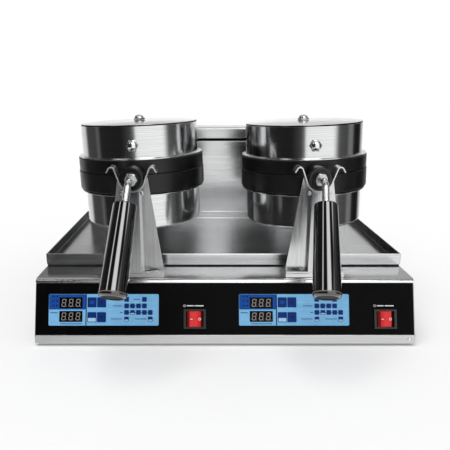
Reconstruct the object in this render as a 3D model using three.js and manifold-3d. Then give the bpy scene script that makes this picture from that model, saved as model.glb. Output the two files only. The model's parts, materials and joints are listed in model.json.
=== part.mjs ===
// Twin waffle cone maker: two round baking heads over one drip tray. Each head turns over about a
// front-to-back axis, in a spindle bearing at the rear and an open cradle at the front, and its lid
// opens about a hinge at the rear. Millimetres, +X right, +Y back, +Z up, and the origin is on the
// floor below the middle of the whole machine.
import * as THREE from 'three';
import { mergeVertices } from 'three/addons/utils/BufferGeometryUtils.js';
import Module from 'manifold-3d';

const wasm = await Module();
wasm.setup();

const radians = THREE.MathUtils.degToRad;

// ---------- driving dimensions ----------

const gap = 0.3; // between pieces that touch
const sheet = 1.5; // sheet steel of every housing
const roundSteps = 40; // sides of a large circle
const shaftSteps = 32; // sides of a shaft that turns, and of its bore
const smallSteps = 24; // sides of a small circle
const trimSteps = 16; // sides of a nut's dome, a foot or a gland

// base, from the floor up
const baseWidth = 580;
const footHeight = 4;
const footRadius = 14;
const footInset = 40; // foot centre from the base's edges
const bandHeight = 14.6; // steel band under the control fascia
const fasciaLength = 78.7; // up its slope
const fasciaTilt = radians(18.6);
const fasciaThick = 1.5;
const foldRun = 6; // rounded fold from the fascia to the deck
const foldRise = 6;
const ledgeDepth = 55; // deck in front of the tray

// controls, one set on each half of the fascia
const keypadWidth = 167.5;
const keypadHeight = 47.5;
const keypadBottom = 14.3; // up the slope
const filmThick = 0.6;
const keyRise = 0.4;
const displayWidth = 34;
const displayHeight = 13.8;
const displayLeft = 18.2; // from the keypad's left edge
const displayBottoms = [6.4, 27]; // from the keypad's bottom edge
const boardDepth = 14; // behind the fascia's face
const switchWidth = 34.4;
const switchHeight = 29.4;
const switchBottom = 9.5; // up the slope
const bezelRise = 2.3;
const rockerWidth = 24;
const rockerLength = 23.4;
const rockerThrow = radians(16); // from off to on
const switchDepth = 22;
const gapShares = [0.244, 0.428, 0.328]; // left, middle and right of the space the controls leave

// tray
const sealHeight = 1.9;
const sealWidth = 8;
const sealInset = 1;
const trayHeight = 18.8;
const trayWall = 2; // hemmed sheet
const trayFloorDrop = 15.5; // floor below the rim

// head, from its seam and its upright centre line
const casingRadius = 97;
const casingFlange = 6.5; // flange that lies on the ring
const ringLip = 2; // ring beyond the casing's flange
const ringInset = 5; // ring's inside, in from the casing's wall
const upperRingHeight = 22;
const lowerRingHeight = 32;
const upperCasingTop = 75;
const lowerCasingDepth = 89;
const bottomRadius = 5; // rounded lower edge
const lidCrown = 2.5; // rise of the lid's middle
const bakeGap = 3; // between the baking plates
const plateThick = 15;
const plateSeat = 12; // height of the ring's inner ledge
const seatWidth = 3.5;
const elementInset = 30; // in from the ring's inside
const tubeRadius = 4;
const domeNutRadius = 9.7;
const domeNutHeight = 8.5;
const frontNutDrop = 31; // below the upper casing's top edge
const frontNutShift = 1; // outwards from the head's centre
const headGap = 17.8686; // between the two heads as they turn over
const turnClearance = 2.8843; // between a turning head and the tray's rim
const headRoll = radians(2); // how far the heads rest from level

// front journal and cradle
const journalRadius = 18;
const cradleLength = 25;
const cradleSetback = 1; // behind the deck's front edge
const journalProud = 1.6; // in front of the cradle
const cradleToRing = 8.4;
const cradleSheet = 2;
const cradleWrap = radians(70); // each side of the lowest point
const curlRadius = 4.5;
const curlTop = 16.7; // above the axis
const curlTurn = radians(130);
const curlTip = 6.3;

// bracket
const bracketSheet = 2;
const columnWidth = 22;
const columnProud = 12;
const flangeEar = 4.5; // bracket beyond the journal, each side, at its head
const padWidth = 90;
const padMargin = 0.5; // pad beyond the bracket's foot, each side
const padDepth = 28;
const padHeight = 6.7;
const bracketFoot = 2.5;

// handle
const rodRadius = 5;
const rodAngle = radians(55); // below level
const rodReach = 24; // from the nut's face to the corner
const rodBend = 16;
const nutAcross = 17;
const nutThick = 8;
const rodToGrip = 33; // from the corner to the grip
const gripLength = 131;
const gripTopRadius = 16.3;
const gripEndRadius = 19;
const rodInGrip = 30;
const rodInJournal = 28;
const handleLean = radians(5); // from plumb, seen from the front

// rear hinge, spindle and bearing
const pinRadius = 4;
const runFit = 0.14; // added to a bore's radius so that its flats clear the shaft
const pinSetback = 15; // behind the ring
const pinRise = 24; // above the seam
const knuckleRadius = 10;
const knuckleWidth = 26.8;
const earWidth = 10;
const earGap = 0.6;
const yokeWall = 6;
const yokeDrop = 28; // below the seam
const spindleRadius = 10;
const spindleBore = 5.5; // passage for the lower element's leads
const spindleFlange = 5;
const collarWall = 6; // spindle's flange, yoke and bearing boss, beyond the spindle
const spindlePlay = 1; // between the spindle's flange and its bearing
const bearingBoss = 70;
const bearingPlate = 9;
const bearingWidth = 40;
const spindleTail = 16; // inside the rear housing

// rear housing
const rearDepth = 80;
const rearInset = 6;
const panelMargin = 1; // panel above the bearings' plates
const ventGap = 6;
const capHeight = 22.4;
const capOverhang = 1.5;
const capFold = 2.5;
const neckInset = 7;

// ---------- derived places ----------

const half = baseWidth / 2;
const ringRadius = casingRadius + casingFlange + ringLip;
const ringInner = casingRadius - ringInset;
const elementRadius = ringInner - elementInset;
const collarRadius = spindleRadius + collarWall;
const bandTopZ = footHeight + bandHeight;
const slopeRun = fasciaLength * Math.sin(fasciaTilt);
const slopeRise = fasciaLength * Math.cos(fasciaTilt);
const deckZ = bandTopZ + slopeRise + foldRise;
const deckFrontY = slopeRun + foldRun;
const trayFrontY = deckFrontY + ledgeDepth;
const trayZ = deckZ + gap + sealHeight + gap;
const rimZ = trayZ + trayHeight;

const bottomCorner = Math.hypot(casingRadius - bottomRadius, lowerCasingDepth - bottomRadius) + bottomRadius;
const topNutReach = upperCasingTop + lidCrown + gap + domeNutHeight;
const turnRadius = Math.max(bottomCorner, Math.hypot(casingRadius, upperCasingTop), topNutReach);
const headX = turnRadius + headGap / 2;
const axisZ = rimZ + turnClearance + turnRadius;
const cradleFrontY = deckFrontY + cradleSetback;
const drumY = cradleFrontY + cradleLength + cradleToRing + ringRadius;

// places along the head's own Y, from its centre line
const journalFront = -(ringRadius + cradleToRing + cradleLength + journalProud);
const pinY = ringRadius + pinSetback;
const yokeBack = pinY + knuckleRadius + earGap + yokeWall;
const bearingFront = yokeBack + gap + spindleFlange + spindlePlay;
const splashFront = bearingFront + bearingBoss + bearingPlate + gap;

const splashY = drumY + splashFront;
const rearY = splashY + rearDepth;
const panelTopZ = axisZ + bearingWidth / 2 + panelMargin;

// ---------- shaping helpers ----------

// A geometry as one indexed mesh that holds only its corners
function merged(geometry) {
  const plain = geometry.clone();
  plain.deleteAttribute('normal');
  plain.deleteAttribute('uv');
  return mergeVertices(plain, 1e-4);
}

function toSolid(geometry) {
  const mesh = merged(geometry);
  const vertProperties = new Float32Array(mesh.attributes.position.array);
  const triVerts = new Uint32Array(mesh.index.array);
  return new wasm.Manifold(new wasm.Mesh({ numProp: 3, vertProperties, triVerts }));
}

function toGeometry(solid) {
  const mesh = solid.getMesh();
  const geometry = new THREE.BufferGeometry();
  geometry.setAttribute('position', new THREE.BufferAttribute(mesh.vertProperties, 3));
  geometry.setIndex(new THREE.BufferAttribute(mesh.triVerts, 1));
  return geometry;
}

function join(...geometries) {
  return toGeometry(geometries.map(toSolid).reduce((a, b) => a.add(b)));
}

function cut(geometry, ...tools) {
  return toGeometry(tools.map(toSolid).reduce((a, b) => a.subtract(b), toSolid(geometry)));
}

function common(a, b) {
  return toGeometry(toSolid(a).intersect(toSolid(b)));
}

function boxBetween(low, high) {
  const size = high.map((v, i) => v - low[i]);
  const middle = high.map((v, i) => (v + low[i]) / 2);
  return new THREE.BoxGeometry(...size).translate(...middle);
}

function extruded(points, depth) {
  const shape = new THREE.Shape(points.map(([u, v]) => new THREE.Vector2(u, v)));
  return new THREE.ExtrudeGeometry(shape, { depth, bevelEnabled: false, steps: 1 });
}

// An outline of [y, z] points, drawn out along X
function alongX(points, x0, x1) {
  const toAxes = new THREE.Matrix4().makeBasis(
    new THREE.Vector3(0, 1, 0),
    new THREE.Vector3(0, 0, 1),
    new THREE.Vector3(1, 0, 0),
  );
  return extruded(points, x1 - x0).applyMatrix4(toAxes).translate(x0, 0, 0);
}

// An outline of [x, z] points, drawn out along Y
function alongY(points, y0, y1) {
  return extruded(points, y1 - y0).rotateX(Math.PI / 2).translate(0, y1, 0);
}

// An outline of [x, y] points, drawn out along Z
function alongZ(points, z0, z1) {
  return extruded(points, z1 - z0).translate(0, 0, z0);
}

// A profile of [radius, height] points, listed from the bottom up the outside, turned about Z
function turned(profile, steps = roundSteps) {
  const points = profile.map(([r, z]) => new THREE.Vector2(r, z));
  return new THREE.LatheGeometry(points, steps).rotateX(Math.PI / 2);
}

function rod(radius, z0, z1, steps = smallSteps) {
  return new THREE.CylinderGeometry(radius, radius, z1 - z0, steps)
    .rotateX(Math.PI / 2)
    .translate(0, 0, (z0 + z1) / 2);
}

function rodAlongX(radius, x0, x1, steps = smallSteps) {
  return rod(radius, x0, x1, steps).rotateY(Math.PI / 2);
}

function rodAlongY(radius, y0, y1, steps = smallSteps) {
  return rod(radius, -y1, -y0, steps).rotateX(Math.PI / 2);
}

// Points of an arc about [cu, cv], with both ends included
function arc(cu, cv, radius, from, to, steps) {
  return Array.from({ length: steps + 1 }, (_, i) => {
    const a = from + ((to - from) * i) / steps;
    return [cu + radius * Math.cos(a), cv + radius * Math.sin(a)];
  });
}

// ---------- materials ----------

function material(color, roughness, metalness) {
  return new THREE.MeshStandardMaterial({ color, roughness, metalness });
}

const steel = material(0xb9bbbd, 0.35, 1);
const polished = material(0xdadcde, 0.12, 1);
const castBlack = material(0x17181a, 0.55, 0.2);
const fasciaBlack = material(0x0c0c0e, 0.35, 0);
const filmBlue = material(0x76acd8, 0.45, 0);
const boardGreen = material(0x1e5a35, 0.6, 0);
const switchBlack = material(0x0e0e0f, 0.4, 0);
const switchRed = material(0xc81414, 0.3, 0);
const gripBlack = material(0x070708, 0.12, 0);
const plateGrey = material(0x9a9c9e, 0.45, 1);
const elementGrey = material(0x55585c, 0.5, 0.8);
const rubber = material(0x161616, 0.9, 0);
const insulator = material(0xd9d4c4, 0.6, 0);

// ---------- scene ----------

const machine = new THREE.Group();

function piece(parent, name, geometry, look) {
  const mesh = new THREE.Mesh(merged(geometry), look);
  mesh.name = name;
  parent.add(mesh);
  return mesh;
}

// ---------- base ----------

// A point on the fascia's slope: s up the slope, depth in from its face
function slope(s, depth) {
  return [
    s * Math.sin(fasciaTilt) + depth * Math.cos(fasciaTilt),
    bandTopZ + s * Math.cos(fasciaTilt) - depth * Math.sin(fasciaTilt),
  ];
}

const slopeFrame = new THREE.Matrix4()
  .makeTranslation(0, 0, bandTopZ)
  .multiply(new THREE.Matrix4().makeRotationX(-fasciaTilt));

function onSlope(geometry) {
  return geometry.applyMatrix4(slopeFrame);
}

const fasciaSeat = fasciaThick + gap;
const windowMargin = 7; // steel left around the opening behind the fascia
const wireSlotMargin = 10; // from the rear housing's walls
const wireSlotHalf = 30;
const glandX = 205;
const glandZ = 46;
const glandShank = 8;
const glandWall = 4;

function baseHousing() {
  const [foldY, foldZ] = slope(fasciaLength, 0);
  const corner = foldY + (deckZ - foldZ) * Math.tan(fasciaTilt);
  const fold = new THREE.QuadraticBezierCurve(
    new THREE.Vector2(foldY, foldZ),
    new THREE.Vector2(corner, deckZ),
    new THREE.Vector2(deckFrontY + foldRun / 2, deckZ),
  );
  const outer = [
    [0, footHeight],
    [0, bandTopZ],
    slope(0, fasciaSeat),
    slope(fasciaLength, fasciaSeat),
    ...fold.getPoints(5).map((p) => [p.x, p.y]),
    [rearY, deckZ],
    [rearY, footHeight],
  ];
  const inner = [
    [sheet, 0],
    [sheet, bandTopZ - 2 * sheet],
    slope(0, fasciaSeat + sheet),
    slope(fasciaLength, fasciaSeat + sheet),
    [deckFrontY + foldRun / 2, deckZ - sheet],
    [rearY - sheet, deckZ - sheet],
    [rearY - sheet, 0],
  ];
  const tools = [alongX(inner, sheet - half, half - sheet)];
  for (const side of [-1, 1]) {
    const [x0, x1] = [side * windowMargin, side * (half - windowMargin)].sort((a, b) => a - b);
    const low = [x0, fasciaSeat - 1, windowMargin];
    const high = [x1, fasciaSeat + sheet + 1, fasciaLength - windowMargin];
    tools.push(onSlope(boxBetween(low, high)));
    const slotLow = [side * headX - wireSlotHalf, splashY + wireSlotMargin, deckZ - 2 * sheet];
    const slotHigh = [side * headX + wireSlotHalf, rearY - wireSlotMargin, deckZ + 1];
    tools.push(boxBetween(slotLow, slotHigh));
  }
  const glandHole = rodAlongY(glandShank + gap, rearY - 2 * sheet, rearY + 1);
  tools.push(glandHole.translate(glandX, 0, glandZ));
  return cut(alongX(outer, -half, half), ...tools);
}

function bottomPlate() {
  const edge = sheet + gap;
  const low = [edge - half, edge, footHeight];
  const plate = boxBetween(low, [half - edge, rearY - edge, footHeight + sheet]);
  const slotPitch = 26;
  const [slotHalf, slotReach, eachSide] = [4, 45, 4];
  const slots = [];
  for (let i = -eachSide; i <= eachSide; i += 1) {
    const x = i * slotPitch;
    const slotLow = [x - slotHalf, drumY - slotReach, 0];
    slots.push(boxBetween(slotLow, [x + slotHalf, drumY + slotReach, footHeight + 2 * sheet]));
  }
  return cut(plate, ...slots);
}

function foot() {
  const top = footHeight - gap;
  return turned([[0, 0], [footRadius - 1, 0], [footRadius, 1], [footRadius, top], [0, top]], trimSteps);
}

// Left edges of the keypad and the switch on the half of the fascia that starts at startX
function controlPlaces(startX) {
  const spare = half - keypadWidth - switchWidth;
  const keypadX = startX + gapShares[0] * spare;
  return { keypadX, switchX: keypadX + keypadWidth + gapShares[1] * spare };
}

const bodyWall = 1.5;
const rockerPivot = 1; // behind the fascia's face
const rockerFace = 4.5; // pivot to the rocker's two raised ends
const rockerDip = 3.2; // pivot to the middle of its face
const cavityHalf = Math.hypot(rockerWidth / 2, rockerFace) + gap;
const cavityLength = rockerLength + 2 * gap;

function displayBlocks(keypadX, grow, depth0, depth1) {
  return displayBottoms.map((bottom) => {
    const low = [keypadX + displayLeft - grow, depth0, keypadBottom + bottom - grow];
    const size = [displayWidth + 2 * grow, depth1 - depth0, displayHeight + 2 * grow];
    return onSlope(boxBetween(low, low.map((v, i) => v + size[i])));
  });
}

function switchBlock(switchX, halfWidth, length, depth0, depth1) {
  const x = switchX + switchWidth / 2;
  const s = switchBottom + switchHeight / 2;
  const low = [x - halfWidth, depth0, s - length / 2];
  return onSlope(boxBetween(low, [x + halfWidth, depth1, s + length / 2]));
}

function controlFascia(places) {
  const edge = sheet + gap;
  const low = [edge - half, 0, gap];
  const plate = onSlope(boxBetween(low, [half - edge, fasciaThick, fasciaLength - gap]));
  const tools = places.flatMap(({ keypadX, switchX }) => [
    ...displayBlocks(keypadX, 2 * gap, -1, fasciaThick + 1),
    switchBlock(switchX, cavityHalf + bodyWall + gap, cavityLength + 2 * bodyWall + 2 * gap, -1, 3),
  ]);
  return cut(plate, ...tools);
}

// Keys of one keypad: four large ones beside the displays, then the rows of small ones
function keyCorners() {
  const large = { x: 60.5, width: 13.5, height: 13.6, pitchX: 15.4, bottoms: [5.4, 27.4] };
  const small = { x: 119, size: 6.6, pitchX: 9.2, bottom: 6.5, pitchZ: 9.7 };
  const smallRows = [[0, 4], [0, 1, 2, 3], [0, 1, 2, 3], [0, 3]];
  const keys = [];
  for (const bottom of large.bottoms) {
    for (const column of [0, 1]) {
      keys.push([large.x + column * large.pitchX, bottom, large.width, large.height]);
    }
  }
  smallRows.forEach((columns, row) => {
    for (const column of columns) {
      const x = small.x + column * small.pitchX;
      keys.push([x, small.bottom + row * small.pitchZ, small.size, small.size]);
    }
  });
  return keys;
}

function keypad(keypadX) {
  const face = -gap - filmThick;
  const low = [keypadX, face, keypadBottom];
  const high = [keypadX + keypadWidth, -gap, keypadBottom + keypadHeight];
  const keys = keyCorners().map(([x, s, width, height]) => {
    const corner = [keypadX + x, face - keyRise, keypadBottom + s];
    return onSlope(boxBetween(corner, [corner[0] + width, face + filmThick / 2, corner[2] + height]));
  });
  const film = join(onSlope(boxBetween(low, high)), ...keys);
  return cut(film, ...displayBlocks(keypadX, gap, face - 1, 1));
}

function controlBoard(keypadX) {
  const boardThick = 1.6;
  const margin = 4;
  const inside = boardThick / 2; // how far what it carries is let into the board
  const low = [keypadX + margin, boardDepth, keypadBottom + margin / 2];
  const high = [keypadX + keypadWidth - margin, boardDepth + boardThick, low[2] + keypadHeight - margin];
  const transformer = { x: 100, s: 6, size: [36, 24, 30] };
  const relay = { x: 20, s: 8, size: [20, 17, 16] };
  const carried = [transformer, relay].map(({ x, s, size }) => {
    const corner = [keypadX + x, boardDepth + inside, keypadBottom + s];
    return onSlope(boxBetween(corner, corner.map((v, i) => v + size[i])));
  });
  return join(
    onSlope(boxBetween(low, high)),
    ...displayBlocks(keypadX, 0, -gap - filmThick / 2, boardDepth + inside),
    ...carried,
  );
}

function switchBody(switchX) {
  const bodyLength = cavityLength + 2 * bodyWall;
  const bezelBack = -gap;
  return cut(
    join(
      switchBlock(switchX, switchWidth / 2, switchHeight, bezelBack - bezelRise, bezelBack),
      switchBlock(switchX, cavityHalf + bodyWall, bodyLength, bezelBack - 1, switchDepth),
    ),
    switchBlock(switchX, cavityHalf, cavityLength, bezelBack - bezelRise - 1, switchDepth / 2),
  );
}

// The rocker as [across, depth] points about its pivot, and turned to its off position
function rocker(parent, name, switchX) {
  const outline = [
    [-rockerWidth / 2, -rockerFace],
    [0, -rockerDip],
    [rockerWidth / 2, -rockerFace],
    [rockerWidth / 3, rockerFace],
    [-rockerWidth / 3, rockerFace],
  ];
  const mount = new THREE.Group();
  mount.applyMatrix4(slopeFrame);
  const turn = new THREE.Group();
  turn.position.set(switchX + switchWidth / 2, rockerPivot, switchBottom + switchHeight / 2);
  turn.rotation.z = rockerThrow / 2;
  mount.add(turn);
  parent.add(mount);
  piece(turn, name, alongZ(outline, -rockerLength / 2, rockerLength / 2), switchRed);
}

function addBase(parent) {
  piece(parent, 'base_housing', baseHousing(), steel);
  piece(parent, 'bottom_plate', bottomPlate(), steel);
  for (const [end, y] of [['front', footInset], ['rear', rearY - footInset]]) {
    for (const [side, x] of [['left', footInset - half], ['right', half - footInset]]) {
      piece(parent, `${end}_${side}_foot`, foot(), rubber).position.set(x, y, 0);
    }
  }
  const places = [controlPlaces(-half), controlPlaces(0)];
  piece(parent, 'control_fascia', controlFascia(places), fasciaBlack);
  ['left', 'right'].forEach((side, i) => {
    const { keypadX, switchX } = places[i];
    piece(parent, `${side}_keypad`, keypad(keypadX), filmBlue);
    piece(parent, `${side}_control_board`, controlBoard(keypadX), boardGreen);
    piece(parent, `${side}_switch_body`, switchBody(switchX), switchBlack);
    rocker(parent, `${side}_switch_rocker`, switchX);
  });
}

// ---------- tray ----------

// A box on the tray's outline, drawn in by inset on every side
function trayBox(inset, z0, z1) {
  const low = [inset - half, trayFrontY + inset, z0];
  return boxBetween(low, [half - inset, splashY - gap - inset, z1]);
}

function traySeal() {
  const z0 = deckZ + gap;
  const hole = trayBox(sealInset + sealWidth, z0 - 1, z0 + sealHeight + 1);
  return cut(trayBox(sealInset, z0, z0 + sealHeight), hole);
}

function dripTray() {
  const floorZ = rimZ - trayFloorDrop;
  const above = trayBox(trayWall, floorZ, rimZ + 1);
  return cut(trayBox(0, trayZ, rimZ), above, trayBox(trayWall, trayZ - 1, floorZ - sheet));
}

// ---------- rear housing ----------

const spindleClear = 2; // around the spindle, where it enters the housing
const rearHalf = half - rearInset;
const neckTopZ = panelTopZ + ventGap + capHeight / 2;

function rearHousing() {
  const innerLow = [sheet - rearHalf, splashY + sheet, 0];
  const inner = boxBetween(innerLow, [rearHalf - sheet, rearY + 1, panelTopZ - sheet]);
  const neckX = rearHalf - neckInset;
  const neck = (inset, z0, z1) => boxBetween(
    [inset - neckX, splashY + neckInset + inset, z0],
    [neckX - inset, rearY - neckInset - inset, z1],
  );
  const shell = join(
    boxBetween([-rearHalf, splashY, deckZ + gap], [rearHalf, rearY, panelTopZ]),
    neck(0, panelTopZ - sheet / 2, neckTopZ),
  );
  const holes = [-1, 1].map((side) => {
    const hole = rodAlongY(spindleRadius + spindleClear, splashY - 1, splashY + 2 * sheet);
    return hole.translate(side * headX, 0, axisZ);
  });
  return cut(shell, inner, neck(sheet, panelTopZ - 2 * sheet, neckTopZ + 1), ...holes);
}

function rearCap() {
  const z0 = panelTopZ + ventGap;
  const z1 = z0 + capHeight;
  const [y0, y1] = [splashY - capOverhang, rearY + capOverhang];
  const outline = (wall) => [
    [y0 + wall, wall ? z0 - 1 : z0],
    [y0 + wall, z1 - capFold],
    [y0 + capFold, z1 - wall],
    [y1 - capFold, z1 - wall],
    [y1 - wall, z1 - capFold],
    [y1 - wall, wall ? z0 - 1 : z0],
  ];
  const x = rearHalf + capOverhang;
  return cut(alongX(outline(0), -x, x), alongX(outline(sheet), sheet - x, x - sheet));
}

function rearCover() {
  const low = [-rearHalf, rearY + gap, deckZ + gap];
  const plate = boxBetween(low, [rearHalf, rearY + gap + sheet, panelTopZ]);
  const louvre = { rows: 6, above: 35, pitch: 12, height: 4, reach: 45 };
  const slots = [];
  for (const side of [-1, 1]) {
    for (let row = 0; row < louvre.rows; row += 1) {
      const z = deckZ + louvre.above + row * louvre.pitch;
      const slotLow = [side * headX - louvre.reach, rearY, z];
      slots.push(boxBetween(slotLow, [side * headX + louvre.reach, rearY + 3 * sheet, z + louvre.height]));
    }
  }
  return cut(plate, ...slots);
}

function cordGland() {
  const outerLength = 16;
  const innerLength = 9;
  const taper = 5;
  const bore = glandShank - glandWall;
  const profile = [
    [bore, -innerLength],
    [glandShank, -innerLength],
    [glandShank, gap],
    [glandShank + glandWall, gap],
    [glandShank + glandWall, outerLength - taper],
    [glandShank, outerLength],
    [bore, outerLength],
    [bore, -innerLength],
  ];
  return turned(profile, trimSteps).rotateX(-Math.PI / 2).translate(glandX, rearY, glandZ);
}

function terminalBlock() {
  const ways = 5;
  const pitch = 12;
  const [depth, height, fromRear] = [22, 18, 60];
  const [slotHalf, slotFloor] = [1, 8];
  const low = [-ways * pitch / 2, rearY - fromRear, footHeight + sheet + gap];
  const block = boxBetween(low, [ways * pitch / 2, low[1] + depth, low[2] + height]);
  const slots = Array.from({ length: ways - 1 }, (_, i) => {
    const x = low[0] + (i + 1) * pitch;
    const slotLow = [x - slotHalf, low[1] - 1, low[2] + slotFloor];
    return boxBetween(slotLow, [x + slotHalf, low[1] + depth + 1, low[2] + height + 1]);
  });
  return cut(block, ...slots);
}

// ---------- bracket and cradle, about the point where the head's axis crosses the cradle's front ----------

// The bowl's middle line on one side, as [x, z] points from the lowest point outwards
function bowlLine() {
  const radius = journalRadius + gap + cradleSheet / 2;
  return arc(0, 0, radius, -Math.PI / 2, cradleWrap - Math.PI / 2, 10);
}

// The cradle's middle line on one side: the bowl, then the curl at its top
function cradleLine() {
  const bowl = bowlLine();
  const [startX, startZ] = bowl[bowl.length - 1];
  const curlZ = curlTop - curlRadius;
  const endZ = curlZ + curlRadius * Math.cos(cradleWrap);
  const endX = startX + (endZ - startZ) / Math.tan(cradleWrap);
  const curlX = endX + curlRadius * Math.sin(cradleWrap);
  const first = cradleWrap + Math.PI / 2;
  const curl = arc(curlX, curlZ, curlRadius, first, first - curlTurn, 8);
  const [tipX, tipZ] = curl[curl.length - 1];
  const heading = cradleWrap - curlTurn;
  const tip = [tipX + curlTip * Math.cos(heading), tipZ + curlTip * Math.sin(heading)];
  return [...bowl, ...curl, tip];
}

// A line of [u, v] points moved sideways, positive to the left of the way it runs
function offsetLine(points, distance) {
  return points.map(([u, v], i) => {
    const [au, av] = points[Math.max(i - 1, 0)];
    const [bu, bv] = points[Math.min(i + 1, points.length - 1)];
    const length = Math.hypot(bu - au, bv - av);
    return [u - (distance * (bv - av)) / length, v + (distance * (bu - au)) / length];
  });
}

function mirrored(points) {
  return points.map(([u, v]) => [-u, v]).reverse();
}

function cradle() {
  const right = cradleLine();
  const line = [...mirrored(right).slice(0, -1), ...right];
  const upper = offsetLine(line, cradleSheet / 2);
  const lower = offsetLine(line, -cradleSheet / 2);
  return alongY([...lower, ...upper.reverse()], 0, cradleLength);
}

// What the cradle fills as seen from the front, with everything above it up to the given height
function cradleSpace(height) {
  const edge = offsetLine(bowlLine(), -(cradleSheet / 2 + gap));
  const [endX, endZ] = edge[edge.length - 1];
  edge.push([endX + (height - endZ) / Math.tan(cradleWrap), height]);
  return alongY([...mirrored(edge).slice(0, -1), ...edge], -1, cradleLength + 1);
}

function bracket() {
  const flangeFoot = padWidth - 2 * padMargin;
  const flangeTop = 2 * (journalRadius + flangeEar);
  const footZ = deckZ + gap + padHeight + gap - axisZ;
  const backY = columnProud + bracketSheet;
  const [outer, inner] = [columnWidth / 2, columnWidth / 2 - bracketSheet];
  const hat = [
    [-flangeFoot / 2, columnProud],
    [-outer, columnProud],
    [-outer, 0],
    [outer, 0],
    [outer, columnProud],
    [flangeFoot / 2, columnProud],
    [flangeFoot / 2, backY],
    [inner, backY],
    [inner, bracketSheet],
    [-inner, bracketSheet],
    [-inner, backY],
    [-flangeFoot / 2, backY],
  ];
  const front = [
    [-flangeFoot / 2, footZ],
    [flangeFoot / 2, footZ],
    [flangeTop / 2, 0],
    [-flangeTop / 2, 0],
  ];
  const upright = common(alongZ(hat, footZ, 0), alongY(front, -1, backY + 1));
  const footLow = [-flangeFoot / 2, 0, footZ];
  const footPlate = boxBetween(footLow, [flangeFoot / 2, padDepth, footZ + bracketFoot]);
  return cut(join(upright, footPlate), cradleSpace(journalRadius));
}

function bracketPad() {
  const z0 = deckZ + gap - axisZ;
  return boxBetween([-padWidth / 2, 0, z0], [padWidth / 2, padDepth, z0 + padHeight]);
}

function addStand(parent, side, x) {
  const stand = new THREE.Group();
  stand.position.set(x, cradleFrontY, axisZ);
  parent.add(stand);
  piece(stand, `${side}_bracket_pad`, bracketPad(), steel);
  piece(stand, `${side}_bracket`, bracket(), steel);
  piece(stand, `${side}_cradle`, cradle(), polished);
}

// ---------- head, about its centre at the seam ----------

// The upper half's profile in the radius-height plane; the lower half is the same shape upside down
function casing(top, ringHeight, edgeRadius, crown) {
  const base = ringHeight + gap;
  const flange = casingRadius + casingFlange;
  const outer = arc(casingRadius - edgeRadius, top - edgeRadius, edgeRadius, 0, Math.PI / 2, 4);
  const innerTop = top - sheet;
  return turned([
    [0, innerTop + crown],
    [casingRadius - sheet - edgeRadius, innerTop],
    [casingRadius - sheet, innerTop - edgeRadius],
    [casingRadius - sheet, base],
    [flange, base],
    [flange, base + sheet],
    [casingRadius, base + sheet],
    ...outer,
    [0, top + crown],
  ]);
}

function ring(height) {
  const chamfer = 2;
  return turned([
    [ringInner, gap],
    [ringRadius, gap],
    [ringRadius, height - chamfer],
    [ringRadius - chamfer, height],
    [ringInner + seatWidth, height],
    [ringInner + seatWidth, plateSeat],
    [ringInner, plateSeat],
    [ringInner, gap],
  ]);
}

function plate() {
  const flangeZ = plateSeat + gap;
  return turned([
    [0, bakeGap / 2],
    [ringInner - gap, bakeGap / 2],
    [ringInner - gap, flangeZ],
    [ringInner + seatWidth - gap, flangeZ],
    [ringInner + seatWidth - gap, bakeGap / 2 + plateThick],
    [0, bakeGap / 2 + plateThick],
  ]);
}

function element() {
  const z = bakeGap / 2 + plateThick + gap + tubeRadius;
  const section = arc(elementRadius, z, tubeRadius, -Math.PI / 2, 1.5 * Math.PI, 6);
  const loop = turned(section, smallSteps);
  const tailLength = 24;
  const tailSpread = 9;
  const tails = [-1, 1].map((side) => {
    const tail = rod(tubeRadius - 0.5, z, z + tailLength, 8);
    return tail.translate(side * tailSpread, elementRadius - 1, 0);
  });
  return join(loop, ...tails);
}

// Turns an upper-half piece over about the head's X axis
function lowered(geometry) {
  return geometry.rotateX(Math.PI);
}

const armInset = 6; // how far an arm reaches into its ring, from the ring's inside

function earHalf() {
  return knuckleWidth / 2 + earGap;
}

function lowerRing() {
  const body = lowered(ring(lowerRingHeight));
  const outer = earHalf() + earWidth;
  const yokeTop = -4; // below the seam, clear of the lid's arm
  const yokeRoot = yokeTop - 1; // where the wall and the ears start, inside the yoke
  const parts = [
    body,
    boxBetween([-outer, ringInner + armInset, -yokeDrop], [outer, yokeBack, yokeTop]),
    boxBetween([-outer, yokeBack - yokeWall, yokeRoot], [outer, yokeBack, collarRadius]),
  ];
  const earRadius = knuckleRadius + earGap;
  for (const side of [-1, 1]) {
    const [x0, x1] = [side * earHalf(), side * outer].sort((a, b) => a - b);
    const legLow = [x0, pinY - earRadius, yokeRoot];
    parts.push(boxBetween(legLow, [x1, pinY + earRadius + 0.1, pinRise]));
    parts.push(rodAlongX(earRadius, x0, x1).translate(0, pinY, pinRise));
  }
  const pinHole = rodAlongX(pinRadius + runFit, -outer - 1, outer + 1).translate(0, pinY, pinRise);
  return cut(join(...parts), pinHole);
}

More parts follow.
